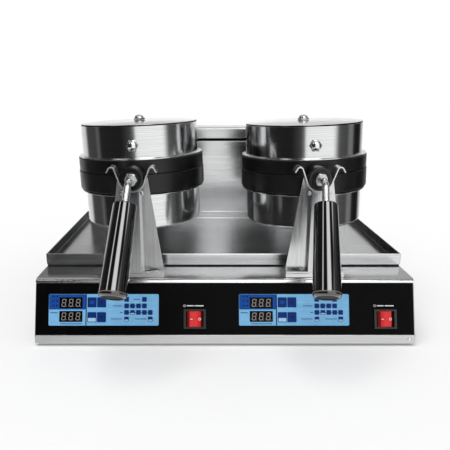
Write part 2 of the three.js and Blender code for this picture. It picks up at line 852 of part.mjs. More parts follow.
function upperRing() {
  const armHalf = knuckleWidth / 2;
  const clearOfFlange = casingRadius + casingFlange + 2 * gap;
  const arm = alongX(
    [
      [ringInner + armInset, 1],
      [ringRadius + 2.5, 1],
      [pinY + knuckleRadius - 1, pinRise - 4],
      [pinY - knuckleRadius + 2, pinRise + 6],
      [clearOfFlange, upperRingHeight],
      [ringInner + armInset, upperRingHeight],
    ],
    -armHalf,
    armHalf,
  );
  const journalBack = -(ringRadius + 2);
  const chamfer = 1.5;
  const journal = turned([
    [0, -journalBack],
    [journalRadius, -journalBack],
    [journalRadius, -journalFront - chamfer],
    [journalRadius - chamfer, -journalFront],
    [0, -journalFront],
  ], shaftSteps).rotateX(Math.PI / 2);
  const neckRadius = journalRadius - 0.5;
  const neck = common(
    rodAlongY(neckRadius, journalBack - 1, -ringInner - armInset, shaftSteps),
    boxBetween([-neckRadius, journalBack - 2, 2 * gap], [neckRadius, 0, neckRadius]),
  );
  const knuckle = rodAlongX(knuckleRadius, -armHalf, armHalf).translate(0, pinY, pinRise);
  return cut(
    join(ring(upperRingHeight), arm, knuckle, journal, neck),
    rodAlongX(pinRadius + runFit, -armHalf - 1, armHalf + 1).translate(0, pinY, pinRise),
    rodAlongY(rodRadius + runFit, journalFront - 1, journalFront + rodInJournal + 1),
  );
}

function hingePin() {
  const pinProud = 2;
  const reach = earHalf() + earWidth + pinProud;
  return rodAlongX(pinRadius, -reach, reach).translate(0, pinY, pinRise);
}

function spindle() {
  const start = yokeBack + gap;
  const end = splashFront + spindleTail;
  const profile = [
    [spindleBore, start],
    [collarRadius, start],
    [collarRadius, start + spindleFlange],
    [spindleRadius, start + spindleFlange],
    [spindleRadius, end],
    [spindleBore, end],
    [spindleBore, start],
  ];
  return turned(profile, shaftSteps).rotateX(-Math.PI / 2);
}

function bearingBlock() {
  const plateFront = bearingFront + bearingBoss;
  const reach = bearingWidth / 2;
  return cut(
    join(
      rodAlongY(collarRadius, bearingFront, plateFront + 1),
      boxBetween([-reach, plateFront, -reach], [reach, splashFront - gap, reach]),
    ),
    rodAlongY(spindleRadius + runFit, bearingFront - 1, splashFront + 1, shaftSteps),
  );
}

// A domed nut that stands on a face at z = 0, pointing up
function domeNut() {
  const hexHeight = 3;
  const hex = new THREE.CylinderGeometry(domeNutRadius, domeNutRadius, hexHeight, 6);
  hex.rotateX(Math.PI / 2).translate(0, 0, hexHeight / 2);
  const domeRadius = domeNutRadius * Math.cos(Math.PI / 6); // the hexagon's inner circle
  const rise = domeNutHeight - hexHeight;
  const crown = arc(0, 0, 1, 0, Math.PI / 2, 4)
    .map(([r, z]) => [domeRadius * Math.max(r, 0), hexHeight + rise * z])
    .slice(0, -1);
  const dome = turned(
    [[0, hexHeight / 2], [domeRadius, hexHeight / 2], ...crown, [0, domeNutHeight]],
    trimSteps,
  );
  return join(hex, dome);
}

// ---------- handle, in the plane through the head's axis ----------

function lockNut() {
  const nut = new THREE.CylinderGeometry(nutAcross / Math.sqrt(3), nutAcross / Math.sqrt(3), nutThick, 6);
  nut.translate(0, journalFront - gap - nutThick / 2, 0);
  return cut(nut, rodAlongY(rodRadius + runFit, journalFront - nutThick - 2, journalFront));
}

const cornerY = journalFront - gap - nutThick - rodReach;
const rodWay = new THREE.Vector3(0, -Math.cos(rodAngle), -Math.sin(rodAngle));

function alongRod(distance) {
  return new THREE.Vector3(0, cornerY, 0).addScaledVector(rodWay, distance);
}

function handleRod() {
  const tangent = rodBend * Math.tan(rodAngle / 2);
  const path = new THREE.CurvePath();
  const start = new THREE.Vector3(0, journalFront + rodInJournal, 0);
  const bendStart = new THREE.Vector3(0, cornerY + tangent, 0);
  const corner = new THREE.Vector3(0, cornerY, 0);
  path.add(new THREE.LineCurve3(start, bendStart));
  path.add(new THREE.QuadraticBezierCurve3(bendStart, corner, alongRod(tangent)));
  path.add(new THREE.LineCurve3(alongRod(tangent), alongRod(rodToGrip + rodInGrip)));
  const circle = new THREE.Shape(arc(0, 0, rodRadius, 0, 2 * Math.PI, 12).slice(0, -1)
    .map(([u, v]) => new THREE.Vector2(u, v)));
  return new THREE.ExtrudeGeometry(circle, { steps: 22, extrudePath: path, bevelEnabled: false });
}

function grip() {
  const blunt = 2;
  const endRound = 6;
  const bore = rodRadius + runFit;
  const profile = [
    [0, gripLength],
    [gripEndRadius - endRound, gripLength],
    [gripEndRadius - 1.5, gripLength - 2],
    [gripEndRadius, gripLength - endRound],
    [gripTopRadius, blunt],
    [gripTopRadius - blunt, 0],
    [bore, 0],
    [bore, rodInGrip + 1],
    [0, rodInGrip + 1],
  ];
  const body = turned(profile.map(([r, down]) => [r, -down]), smallSteps);
  const lean = Math.PI / 2 - rodAngle;
  const place = alongRod(rodToGrip);
  return body.rotateX(-lean).translate(place.x, place.y, place.z);
}

function addHead(parent, side, x) {
  const head = new THREE.Group();
  head.position.set(x, drumY, axisZ);
  head.rotation.y = -headRoll;
  parent.add(head);
  const add = (name, geometry, look) => piece(head, `${side}_${name}`, geometry, look);

  add('lower_casing', lowered(casing(lowerCasingDepth, lowerRingHeight, bottomRadius, 0)), steel);
  add('lower_ring', lowerRing(), castBlack);
  add('lower_plate', lowered(plate()), plateGrey);
  add('lower_element', lowered(element()), elementGrey);
  add('hinge_pin', hingePin(), polished);
  add('spindle', spindle(), polished);

  add('upper_casing', casing(upperCasingTop, upperRingHeight, 2, lidCrown), steel);
  add('upper_ring', upperRing(), castBlack);
  add('upper_plate', plate(), plateGrey);
  add('upper_element', element(), elementGrey);
  add('top_nut', domeNut(), polished).position.z = upperCasingTop + lidCrown + gap;
  const front = add('front_nut', domeNut(), polished);
  front.rotation.x = Math.PI / 2;
  const nutZ = upperCasingTop - frontNutDrop;
  front.position.set(Math.sign(x) * frontNutShift, -casingRadius - gap, nutZ);

  const handle = new THREE.Group();
  handle.rotation.y = handleLean + headRoll;
  head.add(handle);
  piece(handle, `${side}_lock_nut`, lockNut(), polished);
  piece(handle, `${side}_handle_rod`, handleRod(), polished);
  piece(handle, `${side}_grip`, grip(), gripBlack);

  const bearing = piece(parent, `${side}_bearing_block`, bearingBlock(), castBlack);
  bearing.position.set(x, drumY, axisZ);
}

// ---------- assembly ----------

addBase(machine);
piece(machine, 'tray_seal', traySeal(), rubber);
piece(machine, 'drip_tray', dripTray(), steel);
piece(machine, 'rear_housing', rearHousing(), steel);
piece(machine, 'rear_cap', rearCap(), steel);
piece(machine, 'rear_cover', rearCover(), steel);
piece(machine, 'cord_gland', cordGland(), switchBlack);
piece(machine, 'terminal_block', terminalBlock(), insulator);
for (const [side, x] of [['left', -headX], ['right', headX]]) {
  addStand(machine, side, x);
  addHead(machine, side, x);
}

// The origin is below the middle of the whole, from the grips' ends to the gland
machine.updateMatrixWorld(true);
const middle = new THREE.Box3().setFromObject(machine, true).getCenter(new THREE.Vector3());
machine.position.y = -middle.y;

export default machine;
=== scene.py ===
"""The looks of the twin waffle cone maker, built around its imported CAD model. Metres, +Z up."""

import json
import math

import bmesh
import bpy
from mathutils import Matrix, Vector


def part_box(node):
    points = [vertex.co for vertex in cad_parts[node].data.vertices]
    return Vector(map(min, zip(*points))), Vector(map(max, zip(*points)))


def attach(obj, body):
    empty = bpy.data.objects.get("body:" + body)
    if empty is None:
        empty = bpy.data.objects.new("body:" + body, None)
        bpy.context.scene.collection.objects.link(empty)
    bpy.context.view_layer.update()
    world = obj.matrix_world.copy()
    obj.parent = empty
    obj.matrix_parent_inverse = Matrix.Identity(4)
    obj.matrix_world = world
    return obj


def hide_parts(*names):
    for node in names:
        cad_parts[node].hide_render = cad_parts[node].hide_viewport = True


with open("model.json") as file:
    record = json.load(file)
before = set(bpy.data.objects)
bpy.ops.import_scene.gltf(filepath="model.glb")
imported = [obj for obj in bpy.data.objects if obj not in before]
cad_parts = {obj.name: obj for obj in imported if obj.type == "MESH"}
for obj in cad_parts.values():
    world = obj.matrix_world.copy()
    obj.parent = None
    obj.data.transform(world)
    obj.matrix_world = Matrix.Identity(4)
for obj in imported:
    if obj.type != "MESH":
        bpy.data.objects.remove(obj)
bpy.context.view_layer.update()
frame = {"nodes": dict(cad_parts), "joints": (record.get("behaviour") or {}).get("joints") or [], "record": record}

SIDES = ("left", "right")
ROUND = 128  # segments of a large round piece
SMALL_ROUND = 48

# ---------- places, all from the frame ----------

joints = {j["name"]: j for j in frame["joints"]}
body_of_node = {n: b for b, ns in frame["record"]["behaviour"]["bodies"].items() for n in ns}
slot_of_node = {s["node"]: s["material_slot"] for s in frame["record"]["subparts"]}


def basis(origin, x, y, z):
    """A placing matrix from an origin and three axes."""
    m = Matrix((x, y, z)).transposed().to_4x4()
    m.translation = origin
    return m


def spans(node, place):
    """Lowest and highest corners of a CAD node in the coordinates of a placing matrix."""
    inverse = place.inverted()
    points = [inverse @ v.co for v in frame["nodes"][node].data.vertices]
    low = Vector([min(p[i] for p in points) for i in range(3)])
    return low, Vector([max(p[i] for p in points) for i in range(3)])


def head_place(side):
    """The head's own coordinates: its centre at the seam, rolled as it rests."""
    x = Vector(joints[f"{side}_lid_hinge"]["axis"])
    y = Vector((0, 1, 0))
    return basis(Vector(joints[f"{side}_turn"]["pos_m"]), x, y, x.cross(y))


def half_place(side, half):
    """The head's coordinates, upside down for its lower half, so that both halves are built alike."""
    place = head_place(side)
    return place if half == "upper" else place @ Matrix.Rotation(math.pi, 4, "X")


def shaft_place(side):
    """Zero on the head's turning axis, with Z along it to the rear."""
    return Matrix.Translation(joints[f"{side}_turn"]["pos_m"]) @ Matrix.Rotation(math.radians(-90), 4, "X")


HANDLE_LEAN = math.radians(5)  # from plumb, seen from the front


def handle_place(side):
    return Matrix.Translation(joints[f"{side}_turn"]["pos_m"]) @ Matrix.Rotation(HANDLE_LEAN, 4, "Y")


def slope_place():
    """The fascia's coordinates: X, then up its slope, then out of its face. Zero at its lower edge."""
    up = Vector(joints["left_switch"]["axis"])
    x = Vector((1, 0, 0))
    place = basis(Vector((0, 0, 0)), x, up, x.cross(up))
    low, high = spans("control_fascia", place)
    return place @ Matrix.Translation((0, low.y, high.z))


slope = slope_place()

# ---------- node material helpers ----------


class Shader:
    """A Principled material with a few helpers for its node tree."""

    def __init__(self, name, colour, metallic=0.0, roughness=0.5, **constants):
        self.material = bpy.data.materials.new(name)
        self.material.use_nodes = True
        self.tree = self.material.node_tree
        self.shader = self.tree.nodes["Principled BSDF"]
        self.shader.inputs["Base Color"].default_value = (*colour, 1)
        self.shader.inputs["Metallic"].default_value = metallic
        self.shader.inputs["Roughness"].default_value = roughness
        for socket, value in constants.items():
            self.shader.inputs[socket.replace("_", " ")].default_value = value
        self.place = self.node("ShaderNodeTexCoord").outputs["Object"]

    def node(self, kind, **values):
        made = self.tree.nodes.new(kind)
        for key, value in values.items():
            setattr(made, key, value)
        return made

    def link(self, a, b):
        self.tree.links.new(a, b)

    def noise(self, stretch, detail=3.0, rough=0.55):
        """Noise over object coordinates, with its own number of cycles per metre along each axis."""
        mapping = self.node("ShaderNodeMapping")
        mapping.inputs["Scale"].default_value = stretch
        self.link(self.place, mapping.inputs["Vector"])
        texture = self.node("ShaderNodeTexNoise")
        texture.inputs["Scale"].default_value = 1.0
        texture.inputs["Detail"].default_value = detail
        texture.inputs["Roughness"].default_value = rough
        self.link(mapping.outputs["Vector"], texture.inputs["Vector"])
        return texture.outputs["Fac"]

    def ranged(self, value, low, high, source=(0.3, 0.7)):
        """A factor turned into a number between low and high."""
        made = self.node("ShaderNodeMapRange")
        made.inputs["From Min"].default_value = source[0]
        made.inputs["From Max"].default_value = source[1]
        made.inputs["To Min"].default_value = low
        made.inputs["To Max"].default_value = high
        self.link(value, made.inputs["Value"])
        return made.outputs["Result"]

    def bump(self, value, distance):
        """Adds bump of a depth in metres, on top of what there is already."""
        made = self.node("ShaderNodeBump")
        made.inputs["Distance"].default_value = distance
        self.link(value, made.inputs["Height"])
        before = self.shader.inputs["Normal"]
        if before.is_linked:
            self.link(before.links[0].from_socket, made.inputs["Normal"])
        self.link(made.outputs["Normal"], before)

    def tint(self, value, dark, light):
        """Colours the surface between two tones."""
        ramp = self.node("ShaderNodeValToRGB")
        ramp.color_ramp.elements[0].position = 0.32
        ramp.color_ramp.elements[1].position = 0.68
        ramp.color_ramp.elements[0].color = (*dark, 1)
        ramp.color_ramp.elements[1].color = (*light, 1)
        self.link(value, ramp.inputs["Fac"])
        self.link(ramp.outputs["Color"], self.shader.inputs["Base Color"])


def scaled(colour, factor):
    return tuple(min(1.0, c * factor) for c in colour)


def brushed(name, grain, colour=(0.66, 0.665, 0.67), roughness=0.2, spread=0.07, depth=4e-6):
    """Brushed stainless sheet. grain is the fine noise's cycles per metre along X, Y and Z."""
    made = Shader(name, colour, 1.0, roughness)
    fine = made.noise(grain, 2.0, 0.6)
    broad = made.noise(tuple(g * 0.07 for g in grain), 2.0)
    smears = made.noise((9, 9, 9), 4.0, 0.6)
    made.bump(fine, depth)
    mixed = made.node("ShaderNodeMath", operation="MULTIPLY_ADD")
    made.link(broad, mixed.inputs[0])
    mixed.inputs[1].default_value = 0.45
    shifted = made.node("ShaderNodeMath", operation="MULTIPLY")
    made.link(smears, shifted.inputs[0])
    shifted.inputs[1].default_value = 0.55
    made.link(shifted.outputs[0], mixed.inputs[2])
    made.link(made.ranged(mixed.outputs[0], roughness - spread, roughness + spread),
              made.shader.inputs["Roughness"])
    made.tint(fine, scaled(colour, 0.86), scaled(colour, 1.08))
    return made.material


def plain_steel(name, colour, roughness):
    """Polished steel with faint handling marks."""
    made = Shader(name, colour, 1.0, roughness)
    marks = made.noise((60, 60, 60), 5.0, 0.65)
    made.link(made.ranged(marks, roughness * 0.7, roughness * 1.9), made.shader.inputs["Roughness"])
    made.tint(marks, scaled(colour, 0.94), colour)
    made.bump(made.noise((1400, 1400, 1400), 2.0), 1.2e-6)
    return made.material


def moulded(name, colour, roughness, stipple=0.0, wear=0.25, **constants):
    """Plastic, rubber or a painted casting: fine stipple, and a polish that varies over the surface."""
    made = Shader(name, colour, 0.0, roughness, **constants)
    patches = made.noise((35, 35, 35), 5.0, 0.6)
    made.link(made.ranged(patches, roughness * (1 - wear), min(1.0, roughness * (1 + wear))),
              made.shader.inputs["Roughness"])
    made.tint(patches, scaled(colour, 0.85), scaled(colour, 1.18))
    if stipple:
        made.bump(made.noise((1500, 1500, 1500), 3.0, 0.6), stipple)
    return made.material


def casting():
    """Satin black coating on a casting: orange-peel texture, with duller and shinier patches."""
    made = Shader("cast_black", (0.004, 0.004, 0.0045), 0.0, 0.34, Specular_IOR_Level=0.42)
    peel = made.noise((420, 420, 420), 3.0, 0.55)
    grit = made.noise((2600, 2600, 2600), 2.0, 0.5)
    patches = made.noise((24, 24, 24), 5.0, 0.6)
    made.bump(peel, 2.2e-5)
    made.bump(grit, 6e-6)
    made.link(made.ranged(patches, 0.26, 0.44), made.shader.inputs["Roughness"])
    made.tint(patches, (0.003, 0.003, 0.0032), (0.0065, 0.0065, 0.007))
    return made.material


def baking_plate():
    """Cast aluminium plate, browned unevenly by heat and oil."""
    made = Shader("plate_metal", (0.42, 0.4, 0.38), 1.0, 0.42)
    stain = made.noise((32, 32, 32), 6.0, 0.62)
    made.tint(stain, (0.16, 0.12, 0.09), (0.52, 0.5, 0.47))
    made.link(made.ranged(stain, 0.55, 0.32), made.shader.inputs["Roughness"])
    made.bump(made.noise((1100, 1100, 1100), 3.0), 1e-5)
    return made.material


def heated_sheath():
    made = Shader("element_metal", (0.2, 0.19, 0.19), 1.0, 0.45)
    heat = made.noise((45, 45, 45), 4.0)
    made.tint(heat, (0.11, 0.1, 0.12), (0.3, 0.24, 0.19))
    made.bump(made.noise((900, 900, 900), 2.0), 8e-6)
    return made.material


def circuit_board():
    made = Shader("circuit_board", (0.02, 0.12, 0.05), 0.0, 0.4)
    made.tint(made.noise((260, 260, 260), 2.0), (0.012, 0.075, 0.03), (0.035, 0.17, 0.07))
    made.bump(made.noise((700, 700, 700), 2.0), 3e-5)
    return made.material


def printed(name, colour, roughness=0.42):
    """Printed polyester film with its fine velvet finish."""
    made = Shader(name, colour, 0.0, roughness, Specular_IOR_Level=0.15)
    made.tint(made.noise((90, 90, 90), 4.0), scaled(colour, 0.94), scaled(colour, 1.06))
    made.bump(made.noise((4200, 4200, 4200), 2.0), 2.5e-6)
    return made.material


# Gives a colour a faint light of its own: painted glow, for parts that hold no lamp.
def painted_glow(name, colour, strength, roughness=0.3):
    made = Shader(name, colour, 0.0, roughness)
    made.tint(made.noise((300, 300, 300), 2.0), scaled(colour, 0.9), colour)
    made.shader.inputs["Emission Color"].default_value = (*colour, 1)
    made.shader.inputs["Emission Strength"].default_value = strength
    return made.material


ALONG_X = (18, 2600, 2600)
ALONG_Z = (2600, 2600, 18)
AROUND_Z = (14, 14, 2600)  # for pieces with their axis along their own Z

looks = {
    "steel": brushed("steel", ALONG_X),
    "steel_upright": brushed("steel_upright", ALONG_Z, roughness=0.24),
    "steel_drum": brushed("steel_drum", AROUND_Z, (0.72, 0.725, 0.73), 0.14, 0.035, 1.3e-6),
    "steel_shade": brushed("steel_shade", ALONG_X, (0.05, 0.05, 0.052), 0.3),
    # Near-black painted shade, for gaps and grooves.
    "painted_gap_shade": moulded("painted_gap_shade", (0.003, 0.003, 0.003), 0.7, Specular_IOR_Level=0.1),
    "cradle_steel": brushed("cradle_steel", (2600, 18, 2600), (0.74, 0.745, 0.75), 0.33),
    "chrome": plain_steel("chrome", (0.84, 0.845, 0.85), 0.13),
    "nut_steel": plain_steel("nut_steel", (0.62, 0.625, 0.63), 0.24),
    "journal_black": moulded("journal_black", (0.005, 0.005, 0.0055), 0.2, 4e-6),
    "cast_black": casting(),
    "grip_black": moulded("grip_black", (0.004, 0.004, 0.0045), 0.07, wear=0.4, Coat_Weight=1.0,
                          Coat_Roughness=0.04, Coat_IOR=1.9),
    "grip_rim": moulded("grip_rim", (0.16, 0.13, 0.1), 0.25),
    "grip_end": moulded("grip_end", (0.006, 0.006, 0.006), 0.5, 5e-6, Specular_IOR_Level=0.2),
    "fascia_black": moulded("fascia_black", (0.0022, 0.0022, 0.0026), 0.26, 2e-6, 0.2,
                            Specular_IOR_Level=0.05),
    "film_blue": printed("film_blue", (0.19, 0.46, 0.74)),
    "film_pale": printed("film_pale", (0.36, 0.58, 0.78)),
    "film_mid": printed("film_mid", (0.004, 0.062, 0.3)),
    "film_dark": printed("film_dark", (0.0022, 0.026, 0.165), 0.32),
    "film_navy": printed("film_navy", (0.002, 0.004, 0.02), 0.4),
    "display_black": moulded("display_black", (0.002, 0.002, 0.0025), 0.12, wear=0.3,
                             Specular_IOR_Level=0.1),
    # The display's digits carry a faint painted glow.
    "display_digit": painted_glow("display_digit", (0.3, 0.262, 0.25), 0.1),
    "circuit_board": circuit_board(),
    "switch_black": moulded("switch_black", (0.012, 0.013, 0.013), 0.3, 5e-6),
    # The rocker's red carries a painted glow; its end walls take a darker red as painted shade.
    "switch_red": painted_glow("switch_red", (0.62, 0.012, 0.012), 0.14, 0.25),
    "switch_painted_shade": painted_glow("switch_painted_shade", (0.16, 0.002, 0.003), 0.05, 0.4),
    "switch_white": printed("switch_white", (0.85, 0.85, 0.85), 0.35),
    "rubber": moulded("rubber", (0.014, 0.014, 0.015), 0.8, 1.2e-5, 0.12),
    "plate_metal": baking_plate(),
    "element_metal": heated_sheath(),
    "insulator": moulded("insulator", (0.62, 0.57, 0.45), 0.55, 4e-6),
}

# ---------- mesh helpers ----------

SHARP = math.radians(32)


def finished_mesh(name, bm, materials, sharp=SHARP):
    """A mesh with smooth faces, whose edges past the given angle stay sharp."""
    bmesh.ops.recalc_face_normals(bm, faces=bm.faces)
    for face in bm.faces:
        face.smooth = True
    for edge in bm.edges:
        if len(edge.link_faces) == 2 and edge.calc_face_angle(0) > sharp:
            edge.smooth = False
    mesh = bpy.data.meshes.new(name)
    bm.to_mesh(mesh)
    bm.free()
    for key in materials:
        mesh.materials.append(looks[key])
    return mesh


def piece(name, bm, materials, body, place=None, replaces=(), sharp=SHARP):
    made = bpy.data.objects.new(name, finished_mesh(name, bm, materials, sharp))
    bpy.context.scene.collection.objects.link(made)
    if place is not None:
        made.matrix_world = place
    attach(made, body)
    if replaces:
        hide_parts(*replaces)
    weigh(made)
    return made


def weigh(made):
    """Shading that stays flat on large faces and turns only over the small ones at edges."""
    modifier = made.modifiers.new("shading", "WEIGHTED_NORMAL")
    modifier.keep_sharp = True
    modifier.mode = "FACE_AREA"
    modifier.weight = 80


def bevel(made, width, segments=2, angle=30):
    """Rounds a piece's edges."""
    made.modifiers.clear()
    modifier = made.modifiers.new("edges", "BEVEL")
    modifier.width = width
    modifier.segments = segments
    modifier.limit_method = "ANGLE"
    modifier.angle_limit = math.radians(angle)
    modifier.harden_normals = True
    return made


def rounded_copy(node, width, look=None, segments=2):
    """A CAD node's shape with rounded edges, standing for that node."""
    bm = bmesh.new()
    bm.from_mesh(frame["nodes"][node].data)
    bmesh.ops.remove_doubles(bm, verts=bm.verts, dist=1e-6)
    bmesh.ops.dissolve_limit(bm, angle_limit=math.radians(0.5), verts=bm.verts, edges=bm.edges)
    slot = slot_of_node[node]
    made = piece(f"{node}_shell", bm, [look or slot], body_of_node[node], replaces=[node])
    return bevel(made, width, segments)


def ring_of(bm, point, steps):
    """Vertices of one circle of a turned profile, or its single vertex on the axis."""
    radius, height = point
    if radius < 1e-7:
        return [bm.verts.new((0, 0, height))]
    return [bm.verts.new((radius * math.cos(a), radius * math.sin(a), height))
            for a in (2 * math.pi * i / steps for i in range(steps))]


def turned(bm, profile, steps=ROUND, closed=False, material=0, turn=None):
    """Turns a profile of (radius, height) points about Z. closed joins its last point to its first."""
    rings = [ring_of(bm, p, steps) for p in profile]
    pairs = list(zip(rings, rings[1:]))
    if closed:
        pairs.append((rings[-1], rings[0]))
    faces = []
    for a, b in pairs:
        if len(a) == 1 and len(b) == 1:
            continue
        for i in range(steps):
            j = (i + 1) % steps
            if len(a) == 1:
                corners = [a[0], b[i], b[j]]
            elif len(b) == 1:
                corners = [a[i], b[0], a[j]]
            else:
                corners = [a[i], a[j], b[j], b[i]]
            faces.append(bm.faces.new(corners))
            faces[-1].material_index = material
    if turn is not None:
        bmesh.ops.transform(bm, matrix=turn, verts=[v for r in rings for v in r])
    return faces


def curve(cu, cv, radius, start, end, steps):
    """Points of an arc, with angles in degrees and both ends included."""
    angles = (math.radians(start + (end - start) * i / steps) for i in range(steps + 1))
    return [(cu + radius * math.cos(a), cv + radius * math.sin(a)) for a in angles]


def prism(bm, outline, axis_a, axis_b, along, start, end, material=0):
    """An outline of 2-D points along two axes, drawn out from start to end along a third."""
    a, b, c = Vector(axis_a), Vector(axis_b), Vector(along)
    low = [bm.verts.new(a * u + b * v + c * start) for u, v in outline]
    high = [bm.verts.new(a * u + b * v + c * end) for u, v in outline]
    faces = [bm.faces.new(low[::-1]), bm.faces.new(high)]
    for i in range(len(outline)):
        j = (i + 1) % len(outline)
        faces.append(bm.faces.new((low[i], low[j], high[j], high[i])))
    for face in faces:
        face.material_index = material
    return faces


X, Y, Z = (1, 0, 0), (0, 1, 0), (0, 0, 1)


def rounded_rectangle(x0, x1, y0, y1, radius, steps=5):
    """Outline points of a rectangle with round corners."""
    corners = [(x1, y0, -90), (x1, y1, 0), (x0, y1, 90), (x0, y0, 180)]
    points = []
    for x, y, start in corners:
        cx = x - radius if x == x1 else x + radius
        cy = y - radius if y == y1 else y + radius
        points += curve(cx, cy, radius, start, start + 90, steps)
    return points


def slab(bm, bounds, z0, z1, radius, material=0):
    """A flat slab with round corners. bounds are x0, x1, y0, y1."""
    return prism(bm, rounded_rectangle(*bounds, radius), X, Y, Z, z0, z1, material)


# ---------- base ----------

base_low, base_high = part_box("base_housing")
FACE_LIFT = 0.0003  # a thin strip or mark, proud of the face that it lies on


def button_head(bm, radius, height, turn):
    """A low rivet or screw head that stands on a face, its foot sunk into it."""
    foot, shoulder = -0.4 * height, 0.25 * height
    dome = [(radius * u, shoulder + (height - shoulder) * v) for u, v in curve(0, 0, 1, 0, 90, 5)[1:-1]]
    turned(bm, [(0, foot), (radius, foot), (radius, 0), (radius, shoulder), *dome, (0, height)], 24, turn=turn)


RIVET_RADIUS = 0.0026
RIVET_RISE = 0.0012
RIVET_INSET = 0.009  # from the base's right end


def add_base():
    rounded_copy("base_housing", 0.0007, segments=3)
    rounded_copy("bottom_plate", 0.0003)
    for foot in ("front_left", "front_right", "rear_left", "rear_right"):
        add_foot(f"{foot}_foot")
    rounded_copy("control_fascia", 0.0003)
    bm = bmesh.new()
    rivet_turn = Matrix.Rotation(math.radians(90), 4, "X")
    fascia_low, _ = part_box("control_fascia")
    spot = Vector((base_high.x - RIVET_INSET, base_low.y, (base_low.z + fascia_low.z) / 2))
    button_head(bm, RIVET_RADIUS, RIVET_RISE, Matrix.Translation(spot) @ rivet_turn)
    piece("band_rivet", bm, ["chrome"], "base")


def add_foot(node):
    low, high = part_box(node)
    radius = (high.x - low.x) / 2
    height = high.z - low.z
    edge = 0.0012
    profile = [(0, 0), *curve(radius - edge, edge, edge, -90, 0, 5), (radius - 0.0004, height * 0.6),
               (radius - 0.0012, height), (0, height)]
    bm = bmesh.new()
    turned(bm, profile, SMALL_ROUND)
    centre = (low + high) / 2
    piece(f"{node}_pad", bm, ["rubber"], "base",
          Matrix.Translation((centre.x, centre.y, low.z)), [node])


# ---------- controls ----------

FILM_CORNER = 0.002
LEFT_ZONE = 0.0562  # width of the display zone
ZONE_SPLIT = 0.0243  # height of the line between its two colours
DISPLAY = {"left": 0.0162, "width": 0.0352, "height": 0.0164, "bottoms": (0.0056, 0.0262)}
LARGE_KEY = {"left": 0.059, "width": 0.0138, "height": 0.0152, "pitch": 0.0146, "bottoms": (0.0051, 0.0275)}
SMALL_KEY = {"left": 0.115, "size": 0.0071, "pitch": 0.00905, "bottom": 0.0064, "row": 0.0099}
SMALL_ROWS = ((0, 4), (0, 1, 2, 3, 4), (0, 1, 2, 3), (0, 3))
LABEL_BARS = ((0.0945, 0.0172, 0), (0.1085, 0.0046, 1), (0.0975, 0.0140, 2), (0.129, 0.0100, 3),
              (0.131, 0.0180, 0))  # left edge, length and row of each plain rule
PRINT = 0.00006  # thickness of print
INDICATORS = (0.0300, 0.0371, 0.0443)


def key(bm, x, y, width, height, base, top, material):
    """A domed key of the membrane: a slab with a smaller, softer top."""
    edge = 0.0006
    slab(bm, (x, x + width, y, y + height), base, base + (top - base) * 0.6, 0.0011, material)
    slab(bm, (x + edge, x + width - edge, y + edge, y + height - edge), base, top, 0.0009, material)


def arrow(bm, x, y, size, way, z0, z1, material):
    """A plain triangle mark, pointing up or down."""
    outline = [(x - size, y - way * size * 0.6), (x + size, y - way * size * 0.6), (x, y + way * size * 0.8)]
    prism(bm, outline if way > 0 else outline[::-1], X, Y, Z, z0, z1, material)


SLANT = 0.12


def digit(bm, x, y, width, height, z0, z1, material):
    """A seven-segment figure eight, slanted, with its lower left corner at x, y."""
    stroke = width * 0.155
    lean = lambda u, v: (x + u + SLANT * v, y + v)
    half = height / 2
    for v in (0, half - stroke / 2, height - stroke):
        bar = [(stroke * 0.7, v + stroke / 2), (stroke * 1.1, v), (width - stroke * 1.1, v),
               (width - stroke * 0.7, v + stroke / 2), (width - stroke * 1.1, v + stroke),
               (stroke * 1.1, v + stroke)]
        prism(bm, [lean(*p) for p in bar], X, Y, Z, z0, z1, material)
    for u in (0, width - stroke):
        for v in (0, half):
            bar = [(u + stroke / 2, v + stroke * 0.45), (u + stroke, v + stroke * 0.9),
                   (u + stroke, v + half - stroke * 0.9), (u + stroke / 2, v + half - stroke * 0.45),
                   (u, v + half - stroke * 0.9), (u, v + stroke * 0.9)]
            prism(bm, [lean(*p) for p in bar], X, Y, Z, z0, z1, material)
    dot = width + stroke * 0.8
    slab(bm, (x + dot, x + dot + stroke, y, y + stroke), z0, z1, stroke * 0.4, material)


